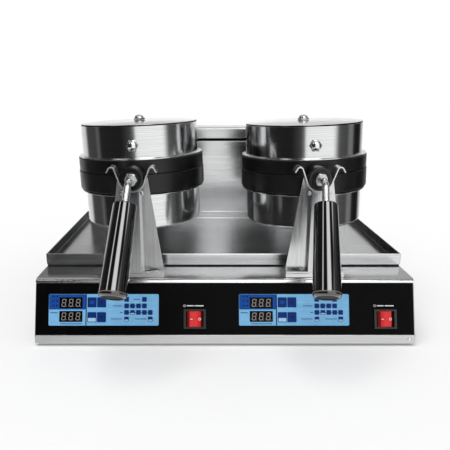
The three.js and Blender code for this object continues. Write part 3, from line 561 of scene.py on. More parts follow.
def add_keypad(side):
    node = f"{side}_keypad"
    low, high = spans(node, slope)
    place = slope @ Matrix.Translation(low)
    width, height = high.x - low.x, high.y - low.y
    key_top = high.z - low.z
    film = key_top - 0.0004
    parts = ["film_blue", "film_mid", "film_dark", "film_navy", "display_black", "display_digit", "film_pale"]
    blue, mid, dark, navy, window, lit, pale = range(len(parts))
    bm = bmesh.new()
    slab(bm, (0, width, 0, height), 0, film, FILM_CORNER, blue)
    skin = film + PRINT
    slab(bm, (0.0003, LEFT_ZONE, ZONE_SPLIT, height - 0.0003), film / 2, skin, 0.0016, mid)
    slab(bm, (LEFT_ZONE, LEFT_ZONE + 0.0015, 0.0003, height - 0.0003), film / 2, skin + PRINT, 0.0002, navy)
    for bottom in DISPLAY["bottoms"]:
        bounds = (DISPLAY["left"], DISPLAY["left"] + DISPLAY["width"], bottom, bottom + DISPLAY["height"])
        slab(bm, bounds, film / 2, skin + 2 * PRINT, 0.0005, window)
        size = (0.0062, 0.0115)
        for i in range(3):
            x = DISPLAY["left"] + 0.003 + i * 0.0108
            y = bottom + (DISPLAY["height"] - size[1]) / 2
            digit(bm, x, y, *size, film, skin + 3 * PRINT, lit)
    for y in INDICATORS:
        prism(bm, curve(0.0126, y, 0.0013, 0, 345, 23), X, Y, Z, film / 2, skin + 2 * PRINT, navy)
        slab(bm, (0.0048, 0.0094, y - 0.0005, y + 0.0005), film / 2, skin + PRINT, 0.0002, navy)
    slab(bm, (0.0022, 0.0132, 0.0188, 0.0198), film / 2, skin, 0.0003, navy)
    slab(bm, (0.0175, 0.0505, 0.0022, 0.0031), film / 2, skin, 0.0003, navy)
    for row, bottom in enumerate(LARGE_KEY["bottoms"]):
        for column in (0, 1):
            x = LARGE_KEY["left"] + column * LARGE_KEY["pitch"]
            key(bm, x, bottom, LARGE_KEY["width"], LARGE_KEY["height"], film, key_top, dark)
            middle = (x + LARGE_KEY["width"] / 2, bottom + LARGE_KEY["height"] / 2)
            if column:
                arrow(bm, *middle, 0.0022, 1 if row else -1, film, key_top + PRINT, navy)
            elif row:
                slab(bm, (middle[0] - 0.0034, middle[0] + 0.0034, middle[1] - 0.0024, middle[1] + 0.0024),
                     film, key_top + PRINT, 0.0008, mid)
    for row, columns in enumerate(SMALL_ROWS):
        y = SMALL_KEY["bottom"] + row * SMALL_KEY["row"]
        for column in columns:
            x = SMALL_KEY["left"] + column * SMALL_KEY["pitch"]
            key(bm, x, y, SMALL_KEY["size"], SMALL_KEY["size"], film, key_top, dark)
    for row, columns in ((1, (0, 1, 2, 3)), (2, (0, 1, 2))):
        y = SMALL_KEY["bottom"] + row * SMALL_KEY["row"] + SMALL_KEY["size"] / 2
        for column in columns:
            x = SMALL_KEY["left"] + column * SMALL_KEY["pitch"] + SMALL_KEY["size"]
            slab(bm, (x - 0.0003, x + 0.0024, y - 0.0005, y + 0.0005), film / 2, skin, 0.0002, dark)
    for row, column in ((0, 0), (0, 4), (1, 1)):
        x = SMALL_KEY["left"] + column * SMALL_KEY["pitch"]
        y = SMALL_KEY["bottom"] + row * SMALL_KEY["row"]
        size = SMALL_KEY["size"]
        slab(bm, (x + 0.0008, x + size - 0.0008, y + 0.0007, y + size * 0.38), film, key_top + PRINT,
             0.0004, pale)
    x, y = LARGE_KEY["left"], LARGE_KEY["bottoms"][0]
    slab(bm, (x + 0.001, x + LARGE_KEY["width"] - 0.001, y + 0.0009, y + LARGE_KEY["height"] * 0.42), film,
         key_top + PRINT, 0.0009, pale)
    for y in (0.0147, 0.0247, 0.0346):
        slab(bm, (0.0895, width - 0.0025, y - 0.00025, y + 0.00025), film / 2, skin, 0.0001, pale)
    for x, length, row in LABEL_BARS:
        y = SMALL_KEY["bottom"] + row * SMALL_KEY["row"] + SMALL_KEY["size"] / 2
        slab(bm, (x, x + length, y - 0.0005, y + 0.0005), film / 2, skin, 0.0002, dark)
    piece(f"{side}_keypad_film", bm, parts, "base", place, [node])


ROCKER_END = (0.0036, 0.0034)  # how far its end slopes in, and down
ROCKER_DIP = 0.0016


def add_switch(side):
    rounded_copy(f"{side}_switch_body", 0.0006, segments=3)
    node = f"{side}_switch_rocker"
    pivot = Vector(joints[f"{side}_switch"]["pos_m"])
    up = Vector(joints[f"{side}_switch"]["axis"])
    tilt = math.radians(8)  # half of the rocker's travel
    place = basis(pivot, Vector((1, 0, 0)), up, Vector((1, 0, 0)).cross(up))
    place = place @ Matrix.Rotation(tilt, 4, "Y")
    low, high = spans(node, place)
    reach, face_top = high.x, high.z
    dip = face_top - ROCKER_DIP
    shoulder, end_top = reach - ROCKER_END[0], face_top - ROCKER_END[1]
    outline = [(-reach, low.z), (reach, low.z), (reach, end_top), (shoulder, face_top),
               *((shoulder * t, dip + (face_top - dip) * t * t) for t in (i / 6 for i in range(5, -6, -1))),
               (-shoulder, face_top), (-reach, end_top)]
    bm = bmesh.new()
    prism(bm, outline, X, Z, Y, low.y, high.y)
    bmesh.ops.recalc_face_normals(bm, faces=bm.faces)
    # The rocker's end walls take the darker red: painted shade.
    for face in bm.faces:
        if abs(face.normal.x) > 0.6 and abs(face.calc_center_median().x) > shoulder:
            face.material_index = 1
    made = piece(f"{node}_cap", bm, ["switch_red", "switch_painted_shade"], f"{side}_rocker", place,
                 [node])
    bevel(made, 0.0005, 3, 40)
    marks = bmesh.new()
    fall = math.atan2(face_top - dip, shoulder)
    z = dip
    left = Matrix.Translation((0, 0, z)) @ Matrix.Rotation(fall, 4, "Y")
    right = Matrix.Translation((0, 0, z)) @ Matrix.Rotation(-fall, 4, "Y")
    faces = slab(marks, (-0.0074, -0.0038, -0.0005, 0.0005), -0.0002, 0.00008, 0.0002)
    verts = {v for f in faces for v in f.verts}
    bmesh.ops.transform(marks, matrix=left, verts=list(verts))
    ring = [(0.0013, -0.0002), (0.002, -0.0002), (0.002, 0.00008), (0.0013, 0.00008)]
    turned(marks, ring, 32, closed=True, turn=right @ Matrix.Translation((0.0072, 0, 0)))
    piece(f"{side}_rocker_marks", marks, ["switch_white"], f"{side}_rocker", place)
    add_power_mark(side, pivot)


def add_power_mark(side, pivot):
    """The ring of the usual power sign, with plain rules beside it, above the switch."""
    bm = bmesh.new()
    top = spans(f"{side}_switch_body", slope)[1].y
    x = (slope.inverted() @ pivot).x - 0.0155
    spot = Matrix.Translation((x, top + 0.0052, 0))
    inner, outer = 0.0013, 0.0018
    turned(bm, [(inner, -PRINT), (outer, -PRINT), (outer, PRINT), (inner, PRINT)], 32, closed=True, turn=spot)
    x += 0.0035
    for start, length in ((0, 0.0105), (0.012, 0.0135)):
        slab(bm, (x + start, x + start + length, top + 0.0045, top + 0.0059), -PRINT, PRINT, 0.0004)
    piece(f"{side}_power_mark", bm, ["switch_white"], "base", slope)


def add_controls():
    for side in SIDES:
        add_keypad(side)
        add_switch(side)


# ---------- tray and rear housing ----------

def cross_strip(name, look, y, z, x, corner=0.00025, steps=3):
    """A thin strip along X. y, z and x each hold its two ends."""
    bm = bmesh.new()
    prism(bm, rounded_rectangle(*y, *z, corner, steps), Y, Z, X, *x)
    piece(name, bm, [look], "base")


def add_tray():
    tray = rounded_copy("drip_tray", 0.0009, segments=3)
    shade_tray_ends(tray)
    rounded_copy("tray_seal", 0.0005)
    low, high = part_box("drip_tray")
    cross_strip("tray_hem", "steel", (low.y - FACE_LIFT, low.y + FACE_LIFT), (low.z + 0.0052, high.z - 0.0012),
                (low.x + 0.001, high.x - 0.001))


def shade_tray_ends(tray):
    """The insides of the tray's two ends stand in their own shadow."""
    tray.data.materials.append(looks["steel_shade"])
    low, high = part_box("drip_tray")
    for face in tray.data.polygons:
        inner = low.x + 0.0005 < face.center.x < high.x - 0.0005
        if inner and abs(face.normal.x) > 0.9 and face.normal.x * face.center.x < 0:
            face.material_index = 1


def add_rear():
    rounded_copy("rear_housing", 0.0008, segments=3)
    rounded_copy("rear_cap", 0.0007, segments=3)
    rounded_copy("rear_cover", 0.0003)
    low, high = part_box("rear_housing")
    cover_low, cover_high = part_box("rear_cover")
    panel_top = cover_high.z
    cross_strip("splash_hem", "steel", (low.y - FACE_LIFT, low.y + FACE_LIFT),
                (panel_top - 0.0068, panel_top - 0.0008), (low.x + 0.0012, high.x - 0.0012))
    cap_low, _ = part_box("rear_cap")
    # A dark strip behind the gap under the cap: painted shadow.
    cross_strip("gap_shadow_strip", "painted_gap_shade", (low.y + 0.0018, low.y + 0.0026),
                (panel_top - 0.004, cap_low.z + 0.001), (low.x + 0.003, high.x - 0.003), 0.0003, 2)
    screws = bmesh.new()
    outwards = Matrix.Rotation(math.radians(-90), 4, "X")
    inset = 0.008
    for x in (cover_low.x + inset, 0, cover_high.x - inset):
        for z in (cover_low.z + inset, cover_high.z - inset):
            button_head(screws, 0.0032, 0.002, Matrix.Translation((x, cover_high.y, z)) @ outwards)
    piece("cover_screws", screws, ["chrome"], "base")
    add_gland()


def add_gland():
    low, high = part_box("cord_gland")
    radius = (high.x - low.x) / 2
    length = high.y - low.y
    shank = 0.009
    bore = 0.0042
    nut = length - shank
    profile = [(bore, 0), (radius * 0.66, 0), (radius * 0.66, shank), (radius - 0.0008, shank),
               (radius, shank + 0.0008), (radius, shank + nut * 0.5), (radius * 0.93, shank + nut * 0.62),
               *curve(radius * 0.55, length - radius * 0.3, radius * 0.3, 50, 90, 4),
               (bore + 0.0008, length), (bore, length - 0.0008)]
    bm = bmesh.new()
    turned(bm, profile, SMALL_ROUND, closed=True)
    centre = (low + high) / 2
    place = Matrix.Translation((centre.x, low.y, centre.z)) @ Matrix.Rotation(math.radians(-90), 4, "X")
    piece("cord_gland_body", bm, ["switch_black"], "base", place, ["cord_gland"])
    ribs = bmesh.new()
    for i in range(12):
        turn = Matrix.Rotation(math.radians(30 * i), 4, "Z")
        faces = slab(ribs, (radius - 0.0012, radius + 0.0003, -0.0009, 0.0009), shank + 0.001,
                     shank + nut * 0.5, 0.0004)
        bmesh.ops.transform(ribs, matrix=turn, verts=list({v for f in faces for v in f.verts}))
    piece("cord_gland_ribs", ribs, ["switch_black"], "base", place)


# ---------- brackets and cradles ----------

CRADLE_SHEET = 0.002
CRADLE_WRAP = 70
CURL_RADIUS = 0.0045
CURL_TURN = 130
CURL_TIP = 0.0063
FIT = 0.0003  # between the journal and its cradle
BOWL_STEPS = 28
CURL_STEPS = 16


def offset_line(points, distance):
    """A line of 2-D points moved sideways, positive to the left of the way it runs."""
    moved = []
    for i, (u, v) in enumerate(points):
        au, av = points[max(i - 1, 0)]
        bu, bv = points[min(i + 1, len(points) - 1)]
        length = math.hypot(bu - au, bv - av)
        moved.append((u - distance * (bv - av) / length, v + distance * (bu - au) / length))
    return moved


def cradle_line(journal, top):
    """The cradle's middle line on its right side, from the lowest point out to the curl's tip."""
    wrap = math.radians(CRADLE_WRAP)
    bowl = curve(0, 0, journal + FIT + CRADLE_SHEET / 2, -90, CRADLE_WRAP - 90, BOWL_STEPS)
    start_x, start_z = bowl[-1]
    curl_z = top - CRADLE_SHEET / 2 - CURL_RADIUS
    end_z = curl_z + CURL_RADIUS * math.cos(wrap)
    curl_x = start_x + (end_z - start_z) / math.tan(wrap) + CURL_RADIUS * math.sin(wrap)
    first = CRADLE_WRAP + 90
    curl = curve(curl_x, curl_z, CURL_RADIUS, first, first - CURL_TURN, CURL_STEPS)
    heading = math.radians(CRADLE_WRAP - CURL_TURN)
    tip = (curl[-1][0] + CURL_TIP * math.cos(heading), curl[-1][1] + CURL_TIP * math.sin(heading))
    return [*bowl, *curl, tip]


def add_cradle(side):
    node = f"{side}_cradle"
    low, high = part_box(node)
    axis = Vector(joints[f"{side}_turn"]["pos_m"])
    journal = axis.z - low.z - CRADLE_SHEET - FIT
    right = cradle_line(journal, high.z - axis.z)
    line = [(-u, v) for u, v in reversed(right)][:-1] + right
    outline = offset_line(line, -CRADLE_SHEET / 2) + offset_line(line, CRADLE_SHEET / 2)[::-1]
    bm = bmesh.new()
    prism(bm, outline, X, Z, Y, low.y, high.y)
    made = piece(f"{node}_strip", bm, ["cradle_steel"], "base",
                 Matrix.Translation((axis.x, 0, axis.z)), [node])
    bevel(made, 0.0004, 2, 50)


def add_stand(side):
    rounded_copy(f"{side}_bracket_pad", 0.0006, segments=3)
    rounded_copy(f"{side}_bracket", 0.0004, "steel_upright", 2)
    add_cradle(side)
    low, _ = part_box(f"{side}_bracket")
    axis = Vector(joints[f"{side}_turn"]["pos_m"])
    beads = bmesh.new()
    for way in (-1, 1):
        spot = Vector((axis.x + way * 0.0148, low.y + 0.0001, axis.z - 0.0215))
        bmesh.ops.create_uvsphere(beads, u_segments=24, v_segments=12, radius=0.0028,
                                  matrix=Matrix.Translation(spot) @ Matrix.Diagonal((1, 0.22, 1.15, 1)))
    piece(f"{side}_weld_spots", beads, ["nut_steel"], "base")


# ---------- heads ----------

FLANGE_SHEET = 0.0015
LID_SEAM = 0.0022  # from the top of the lid's rim to the foot of the joint under its disc, whose groove is painted near-black as shade
SEAM_DEPTH = 0.0011
FLANGE_WIDTH = 0.0065
SHEET = 0.0015


def casing_profile(radius, flange_low, top, crown, edge, lid_seam):
    """A casing's outer and inner lines, as (radius, height), from its flange to the middle of its top."""
    flange = radius + FLANGE_WIDTH
    lip = 0.0004
    outer = [*curve(flange - lip, flange_low + lip, lip, -90, 0, 4),
             *curve(flange - lip, flange_low + FLANGE_SHEET - lip, lip, 0, 90, 4),
             (radius + 0.0012, flange_low + FLANGE_SHEET),
             *curve(radius + 0.0012, flange_low + FLANGE_SHEET + 0.0012, 0.0012, -90, -180, 4)[1:]]
    if lid_seam:
        foot, groove = top - LID_SEAM, radius - SEAM_DEPTH
        outer += [(radius, foot - 0.0003), (radius - 0.0003, foot), (groove, foot + 0.0001),
                  (groove, top - 0.0006), (radius - 0.0004, top - 0.0005)]
        radius -= 0.0004
    outer += curve(radius - edge, top - edge, edge, 0, 84, 8)
    rings = 14
    rim = radius - edge
    outer += [(rim * (1 - i / rings), top + crown * (1 - (1 - i / rings) ** 2)) for i in range(1, rings)]
    inner = [(0, top + crown - SHEET), (rim, top - SHEET), (radius - SHEET, top - SHEET - edge),
             (radius - SHEET, flange_low)]
    return outer + [(0, top + crown)], inner


def add_casing(side, half):
    """Upper or lower sheet casing. The lower one is the same shape upside down."""
    node = f"{side}_{half}_casing"
    upper = half == "upper"
    place = half_place(side, half)
    low, high = spans(node, place)
    radius = high.x - FLANGE_WIDTH
    crown = 0.0025 if upper else 0.0
    edge = 0.0004 if upper else 0.005
    top = high.z - crown
    outer, inner = casing_profile(radius, low.z, top, crown, edge, upper)
    bm = bmesh.new()
    turned(bm, [*inner, *outer], ROUND)
    bmesh.ops.remove_doubles(bm, verts=bm.verts, dist=1e-7)
    # The groove under the lid's disc takes near-black painted shade.
    if upper:
        for face in bm.faces:
            middle = face.calc_center_median()
            reach = math.hypot(middle.x, middle.y)
            if radius - 0.0012 < reach < radius - 0.0002 and top - LID_SEAM - 0.0001 < middle.z < top - 0.0004:
                face.material_index = 1
    piece(f"{node}_shell", bm, ["steel_drum", "painted_gap_shade"], body_of_node[node], place, [node])


SEAM_CHAMFER = 0.0006
RING_CHAMFER = 0.0036


def add_ring(side, half):
    """Cast ring with a fine chamfer at the seam and a broad one at its outer edge."""
    node = f"{side}_{half}_ring"
    upper = half == "upper"
    place = half_place(side, half)
    casing_low, casing_high = spans(f"{side}_{half}_casing", place)
    _, plate_high = spans(f"{side}_{half}_plate", place)
    outer = casing_high.x + 0.002
    inner = plate_high.x - 0.0032
    bottom = FIT
    top = casing_low.z - FIT
    chamfer = 0.0009 if upper else RING_CHAMFER
    if upper:
        outer -= 0.0008
    seat = plate_high.x + 0.0003
    profile = [(inner, bottom), (outer - SEAM_CHAMFER, bottom), (outer, bottom + SEAM_CHAMFER),
               (outer, top - chamfer), (outer - 0.0003, top - chamfer * 0.75), (outer - chamfer, top),
               (seat, top), (seat, 0.012), (inner, 0.012)]
    bm = bmesh.new()
    turned(bm, profile, ROUND, closed=True)
    body = body_of_node[node]
    piece(f"{node}_band", bm, ["cast_black"], body, place, [node])


def add_journal(side):
    """The lid's round journal, which turns in the cradle, and the neck that joins it to the ring."""
    place = head_place(side)
    ring_low, _ = spans(f"{side}_upper_ring", place)
    radius = -ring_low.z
    front = -ring_low.y
    casing_high = spans(f"{side}_upper_casing", place)[1]
    back = casing_high.x + 0.002 + 0.0016
    groove = 0.0045
    profile = [(0, back), (radius, back), (radius, front - 0.0075), (radius - 0.0012, front - 0.0069),
               (radius - 0.0012, front - 0.0061), (radius - 0.0002, front - 0.0055),
               *curve(radius - 0.0022, front - 0.002, 0.002, 0, 90, 5),
               (radius - groove, front), (radius - groove - 0.0006, front - 0.0007),
               (radius - groove - 0.0014, front - 0.0007), (radius - groove - 0.002, front), (0, front)]
    bm = bmesh.new()
    turned(bm, profile, 96, turn=Matrix.Rotation(math.radians(90), 4, "X"))
    neck = [(u, max(v, 0.0008)) for u, v in curve(0, 0, radius - 0.0006, 0, 180, 24)]
    prism(bm, neck, X, Z, Y, -back - 0.001, -back + 0.01)
    piece(f"{side}_journal", bm, ["journal_black"], f"{side}_lid", place,
          [f"{side}_upper_ring"])


def add_lid_arm(side):
    """The lid's hinge arm and knuckle, behind the ring."""
    place = head_place(side)
    pin_low, pin_high = spans(f"{side}_hinge_pin", place)
    pin_y, pin_z = (pin_low.y + pin_high.y) / 2, (pin_low.z + pin_high.z) / 2
    top = spans(f"{side}_upper_ring", place)[1].z
    knuckle = top - pin_z
    ring = spans(f"{side}_upper_casing", place)[1].x + 0.002
    height = spans(f"{side}_upper_casing", place)[0].z - FIT
    arm = 0.0132
    outline = [(ring - 0.006, 0.001), (ring + 0.0025, 0.001),
               *curve(pin_y, pin_z, knuckle, -35, 150, 20), (ring - 0.0005, height), (ring - 0.006, height)]
    bm = bmesh.new()
    prism(bm, outline, Y, Z, X, -arm, arm)
    made = piece(f"{side}_lid_arm", bm, ["cast_black"], f"{side}_lid", place,
                 [f"{side}_upper_ring"])
    bevel(made, 0.0012, 3, 50)


YOKE_HALF = 0.024  # half its width
YOKE_GAP = 0.014  # from its middle to each ear's inside
YOKE_LOW, YOKE_HIGH = -0.028, 0.016
YOKE_WALL = 0.006
YOKE_FLOOR = -0.004  # top of its block, between the ears


def add_yoke(side):
    """The lower ring's rear yoke: a block, a wall for the spindle and two ears for the hinge pin."""
    place = head_place(side)
    pin_low, pin_high = spans(f"{side}_hinge_pin", place)
    pin_y, pin_z = (pin_low.y + pin_high.y) / 2, (pin_low.z + pin_high.z) / 2
    _, ring_high = spans(f"{side}_lower_ring", place)
    ear = ring_high.z - pin_z
    ring = spans(f"{side}_lower_casing", place)[1].x + 0.002
    back = ring_high.y
    block = [(ring - 0.006, YOKE_LOW), (back, YOKE_LOW), (back, YOKE_HIGH), (back - YOKE_WALL, YOKE_HIGH),
             (back - YOKE_WALL, YOKE_FLOOR), (ring - 0.006, YOKE_FLOOR)]
    bm = bmesh.new()
    prism(bm, block, Y, Z, X, -YOKE_HALF, YOKE_HALF)
    for x0, x1 in ((-YOKE_HALF, -YOKE_GAP), (YOKE_GAP, YOKE_HALF)):
        outline = [(pin_y - ear, -0.0045), (pin_y + ear, -0.0045), *curve(pin_y, pin_z, ear, 0, 180, 20)]
        prism(bm, outline, Y, Z, X, x0, x1)
    made = piece(f"{side}_yoke", bm, ["cast_black"], f"{side}_head", place,
                 [f"{side}_lower_ring"])
    bevel(made, 0.001, 3, 50)


WAFFLE_PITCH = 0.0085
WAFFLE_RISE = 0.0008
WAFFLE_HALF = 0.0007


def add_plate(side, half):
    """Baking plate with its raised diamond grid."""
    node = f"{side}_{half}_plate"
    place = half_place(side, half)
    low, high = spans(node, place)
    rim = high.x - 0.0035
    seat = 0.0123
    edge = 0.001
    profile = [(0, low.z), *curve(rim - edge, low.z + edge, edge, -90, 0, 4), (rim, seat), (high.x, seat),
               (high.x, high.z), (0, high.z)]
    bm = bmesh.new()
    turned(bm, profile, ROUND)
    reach = rim - 0.006
    count = int(reach // WAFFLE_PITCH)
    ridge = [(-WAFFLE_HALF, low.z + 0.0004), (-WAFFLE_HALF * 0.4, low.z - WAFFLE_RISE),
             (WAFFLE_HALF * 0.4, low.z - WAFFLE_RISE), (WAFFLE_HALF, low.z + 0.0004)]
    for angle in (32, -32):
        turn = math.radians(angle)
        run = Vector((math.sin(turn), math.cos(turn), 0))
        across = Vector((math.cos(turn), -math.sin(turn), 0))
        for i in range(-count, count + 1):
            offset = i * WAFFLE_PITCH
            chord = math.sqrt(reach ** 2 - offset ** 2)
            outline = [(offset + u, v) for u, v in ridge]
            prism(bm, outline, across, Z, run, -chord, chord)
    piece(f"{node}_grid", bm, ["plate_metal"], body_of_node[node], place, [node])


def hexagon(across):
    return [(across / math.sqrt(3) * math.cos(math.radians(60 * i)),
             across / math.sqrt(3) * math.sin(math.radians(60 * i))) for i in range(6)]


def hex_body(name, across, z0, z1, body, place, replaces, bore=0.0):
    """A hexagon whose corners are turned off at both ends, as on a real nut."""
    bm = bmesh.new()
    prism(bm, hexagon(across), X, Y, Z, z0, z1)
    made = piece(name, bm, ["nut_steel"], body, place, replaces)
    cutter_bm = bmesh.new()
    corner = across / math.sqrt(3)
    slant = (corner - across / 2) * 0.58 + 0.0001
    turned(cutter_bm, [(0, z0 - 1e-5), (across / 2 * 0.985, z0 - 1e-5), (corner, z0 + slant),
                       (corner, z1 - slant), (across / 2 * 0.985, z1 + 1e-5), (0, z1 + 1e-5)], 64)
    trimmed(made, cutter_bm, "INTERSECT")
    if bore:
        bore_bm = bmesh.new()
        turned(bore_bm, [(0, z0 - 0.01), (bore, z0 - 0.01), (bore, z1 + 0.01), (0, z1 + 0.01)], 48)
        trimmed(made, bore_bm, "DIFFERENCE")
    bevel(made, 0.0002, 2, 25)
    return made


def trimmed(made, cutter_bm, operation):
    """Cuts a piece by a second shape in the same coordinates, and keeps the result as its mesh."""
    bmesh.ops.recalc_face_normals(cutter_bm, faces=cutter_bm.faces)
    mesh = bpy.data.meshes.new("cutter")
    cutter_bm.to_mesh(mesh)
    cutter_bm.free()
    cutter = bpy.data.objects.new("cutter", mesh)
    bpy.context.scene.collection.objects.link(cutter)
    cutter.matrix_world = made.matrix_world
    made.modifiers.clear()
    modifier = made.modifiers.new("cut", "BOOLEAN")
    modifier.operation = operation
    modifier.object = cutter
    modifier.solver = "EXACT"
    bpy.context.view_layer.update()
    result = bpy.data.meshes.new_from_object(made.evaluated_get(bpy.context.evaluated_depsgraph_get()))
    made.modifiers.clear()
    old = made.data
    made.data = result
    bpy.data.meshes.remove(old)
    bpy.data.objects.remove(cutter)
    bpy.data.meshes.remove(mesh)


def add_dome_nut(side, which):
    node = f"{side}_{which}_nut"
    head = head_place(side)
    low, high = spans(node, head)
    centre = (low + high) / 2
    if which == "top":
        place = head @ Matrix.Translation((centre.x, centre.y, low.z))
        height = high.z - low.z
        corner = (high.y - low.y) / 2
    else:
        place = head @ Matrix.Translation((centre.x, high.y, centre.z))
        place = place @ Matrix.Rotation(math.radians(90), 4, "X")
        height = high.y - low.y
        corner = (high.z - low.z) / 2
    hexagon_height = 0.003
    across = corner * math.sqrt(3)
    hex_body(f"{node}_hexagon", across, 0, hexagon_height, f"{side}_lid", place, [node])
    dome = across / 2 * 0.96
    rise = height - hexagon_height
    profile = [(0, 0.001), (dome, 0.001), (dome, hexagon_height)]
    profile += [(dome * math.cos(a), hexagon_height + rise * math.sin(a))
                for a in (math.radians(90 * i / 14) for i in range(1, 14))]
    bm = bmesh.new()
    turned(bm, [*profile, (0, height)], SMALL_ROUND)
    piece(f"{node}_dome", bm, ["chrome"], f"{side}_lid", place, [node], math.radians(60))


# ---------- handles ----------

ROD_RADIUS = 0.005
ROD_ANGLE = math.radians(55)  # below level
ROD_REACH = 0.024
ROD_BEND = 0.016
ROD_TO_GRIP = 0.033
ROD_IN = 0.028
GRIP_LENGTH = 0.131
GRIP_TOP = 0.0163
GRIP_END = 0.019


def add_handle(side):
    place = handle_place(side)
    nut_low, nut_high = spans(f"{side}_lock_nut", place)
    across = min(nut_high.z - nut_low.z, nut_high.x - nut_low.x)
    nut_place = place @ Matrix.Translation((0, nut_high.y, 0)) @ Matrix.Rotation(math.radians(90), 4, "X")
    hex_body(f"{side}_lock_nut_body", across, 0, nut_high.y - nut_low.y, f"{side}_lid", nut_place,
             [f"{side}_lock_nut"], ROD_RADIUS)
    corner = nut_low.y - ROD_REACH
    way = Vector((0, -math.cos(ROD_ANGLE), -math.sin(ROD_ANGLE)))
    add_rod(side, place, corner, way, nut_high.y + ROD_IN)
    add_grip(side, place, Vector((0, corner, 0)) + way * ROD_TO_GRIP)


def add_rod(side, place, corner, way, start):
    """The bent rod: straight, round its bend, and straight again into the grip."""
    tangent = ROD_BEND * math.tan(ROD_ANGLE / 2)
    centre = Vector((0, corner + tangent, -ROD_BEND))
    path = [Vector((0, start, 0)), Vector((0, corner + tangent + 0.001, 0))]
    for i in range(13):
        a = ROD_ANGLE * i / 12
        path.append(centre + ROD_BEND * Vector((0, -math.sin(a), math.cos(a))))
    path.append(Vector((0, corner, 0)) + way * (ROD_TO_GRIP + 0.012))
    steps = 40
    bm = bmesh.new()
    rings = []
    for i, point in enumerate(path):
        before, after = path[max(i - 1, 0)], path[min(i + 1, len(path) - 1)]
        along = (after - before).normalized()
        side_way = Vector((1, 0, 0))
        up = along.cross(side_way)
        rings.append([bm.verts.new(point + ROD_RADIUS * (math.cos(t) * side_way + math.sin(t) * up))
                      for t in (2 * math.pi * k / steps for k in range(steps))])
    for a, b in zip(rings, rings[1:]):
        for k in range(steps):
            bm.faces.new((a[k], a[(k + 1) % steps], b[(k + 1) % steps], b[k]))
    bm.faces.new(rings[0][::-1])
    bm.faces.new(rings[-1])
    piece(f"{side}_handle_rod_bar", bm, ["chrome"], f"{side}_lid", place, [f"{side}_handle_rod"])


def add_grip(side, place, start):
    """Tapered glossy grip, with a shallow rim at its end and a recessed end cap."""
    round_top = 0.0022
    end_round = 0.0052
    bore = ROD_RADIUS + 0.0004
    taper = [(GRIP_TOP + (GRIP_END - GRIP_TOP) * t, GRIP_LENGTH * t) for t in (i / 10 for i in range(1, 10))]
    profile = [(bore, 0.003), (bore, 0.0006), (bore + 0.0006, 0),
               *curve(GRIP_TOP - round_top, round_top, round_top, -90, 0, 8), *taper,
               *curve(GRIP_END - end_round, GRIP_LENGTH - end_round, end_round, 0, 78, 10),
               (GRIP_END - end_round - 0.0015, GRIP_LENGTH - 0.0003),
               (GRIP_END - end_round - 0.002, GRIP_LENGTH - 0.001), (0, GRIP_LENGTH - 0.001), (0, 0.003)]
    bm = bmesh.new()
    turned(bm, profile, 96)
    bmesh.ops.remove_doubles(bm, verts=bm.verts, dist=1e-7)
    down = Matrix.Rotation(math.pi / 2 + ROD_ANGLE, 4, "X")
    grip_place = place @ Matrix.Translation(start) @ down
    for face in bm.faces:
        middle = face.calc_center_median()
        if middle.z > GRIP_LENGTH - 0.0011 and math.hypot(middle.x, middle.y) < GRIP_END - end_round:
            face.material_index = 1
    piece(f"{side}_grip_body", bm, ["grip_black", "grip_end"], f"{side}_lid", grip_place,
          [f"{side}_grip"], math.radians(50))
    cap = bmesh.new()
    z = GRIP_LENGTH - end_round
    turned(cap, [(GRIP_END - 0.0005, z - 0.0012), (GRIP_END + 0.00012, z - 0.001), (GRIP_END + 0.00016, z),
                 (GRIP_END + 0.0001, z + 0.0004), (GRIP_END - 0.0005, z + 0.0005)], 96, closed=True)
    piece(f"{side}_grip_rim", cap, ["grip_rim"], f"{side}_lid", grip_place)


# ---------- rear bearings ----------

def add_bearing(side):
    place = shaft_place(side)
    low, high = spans(f"{side}_bearing_block", place)
    reach = high.x
    boss = 0.016
    plate = high.z - 0.009
    bore = 0.01035
    bm = bmesh.new()
    turned(bm, [(bore, low.z + 0.0008), (bore + 0.0008, low.z), (boss - 0.0012, low.z), (boss, low.z + 0.0012),
                (boss, plate - 0.004), (boss + 0.003, plate + 0.0002), (bore, plate + 0.0002)], 64, closed=True)
    piece(f"{side}_bearing_boss", bm, ["cast_black"], "base", place, [f"{side}_bearing_block"])
    flange = bmesh.new()
    slab(flange, (-reach, reach, -reach, reach), plate, high.z, 0.004)
    made = piece(f"{side}_bearing_flange", flange, ["cast_black"], "base", place,
                 [f"{side}_bearing_block"])
    bore_bm = bmesh.new()
    turned(bore_bm, [(0, plate - 0.01), (bore, plate - 0.01), (bore, high.z + 0.01), (0, high.z + 0.01)], 64)
    trimmed(made, bore_bm, "DIFFERENCE")
    bevel(made, 0.0009, 2, 40)
    screws = bmesh.new()
    for x in (-1, 1):
        for y in (-1, 1):
            spot = Matrix.Translation((x * (reach - 0.0048), y * (reach - 0.0048), plate))
            button_head(screws, 0.0032, 0.0024, spot @ Matrix.Rotation(math.pi, 4, "X"))
    piece(f"{side}_bearing_screws", screws, ["chrome"], "base", place)


def add_spindle(side):
    place = shaft_place(side)
    low, high = spans(f"{side}_spindle", place)
    collar = high.x
    radius, bore = 0.01, 0.0055
    thick = 0.005
    edge = 0.0006
    back = low.z + thick
    profile = [(bore, low.z), (collar - edge, low.z), (collar, low.z + edge), (collar, back - edge),
               (collar - edge, back), (radius, back), (radius, high.z - edge), (radius - edge, high.z),
               (bore, high.z)]
    bm = bmesh.new()
    turned(bm, profile, 64, closed=True)
    piece(f"{side}_spindle_shaft", bm, ["chrome"], f"{side}_head", place, [f"{side}_spindle"])


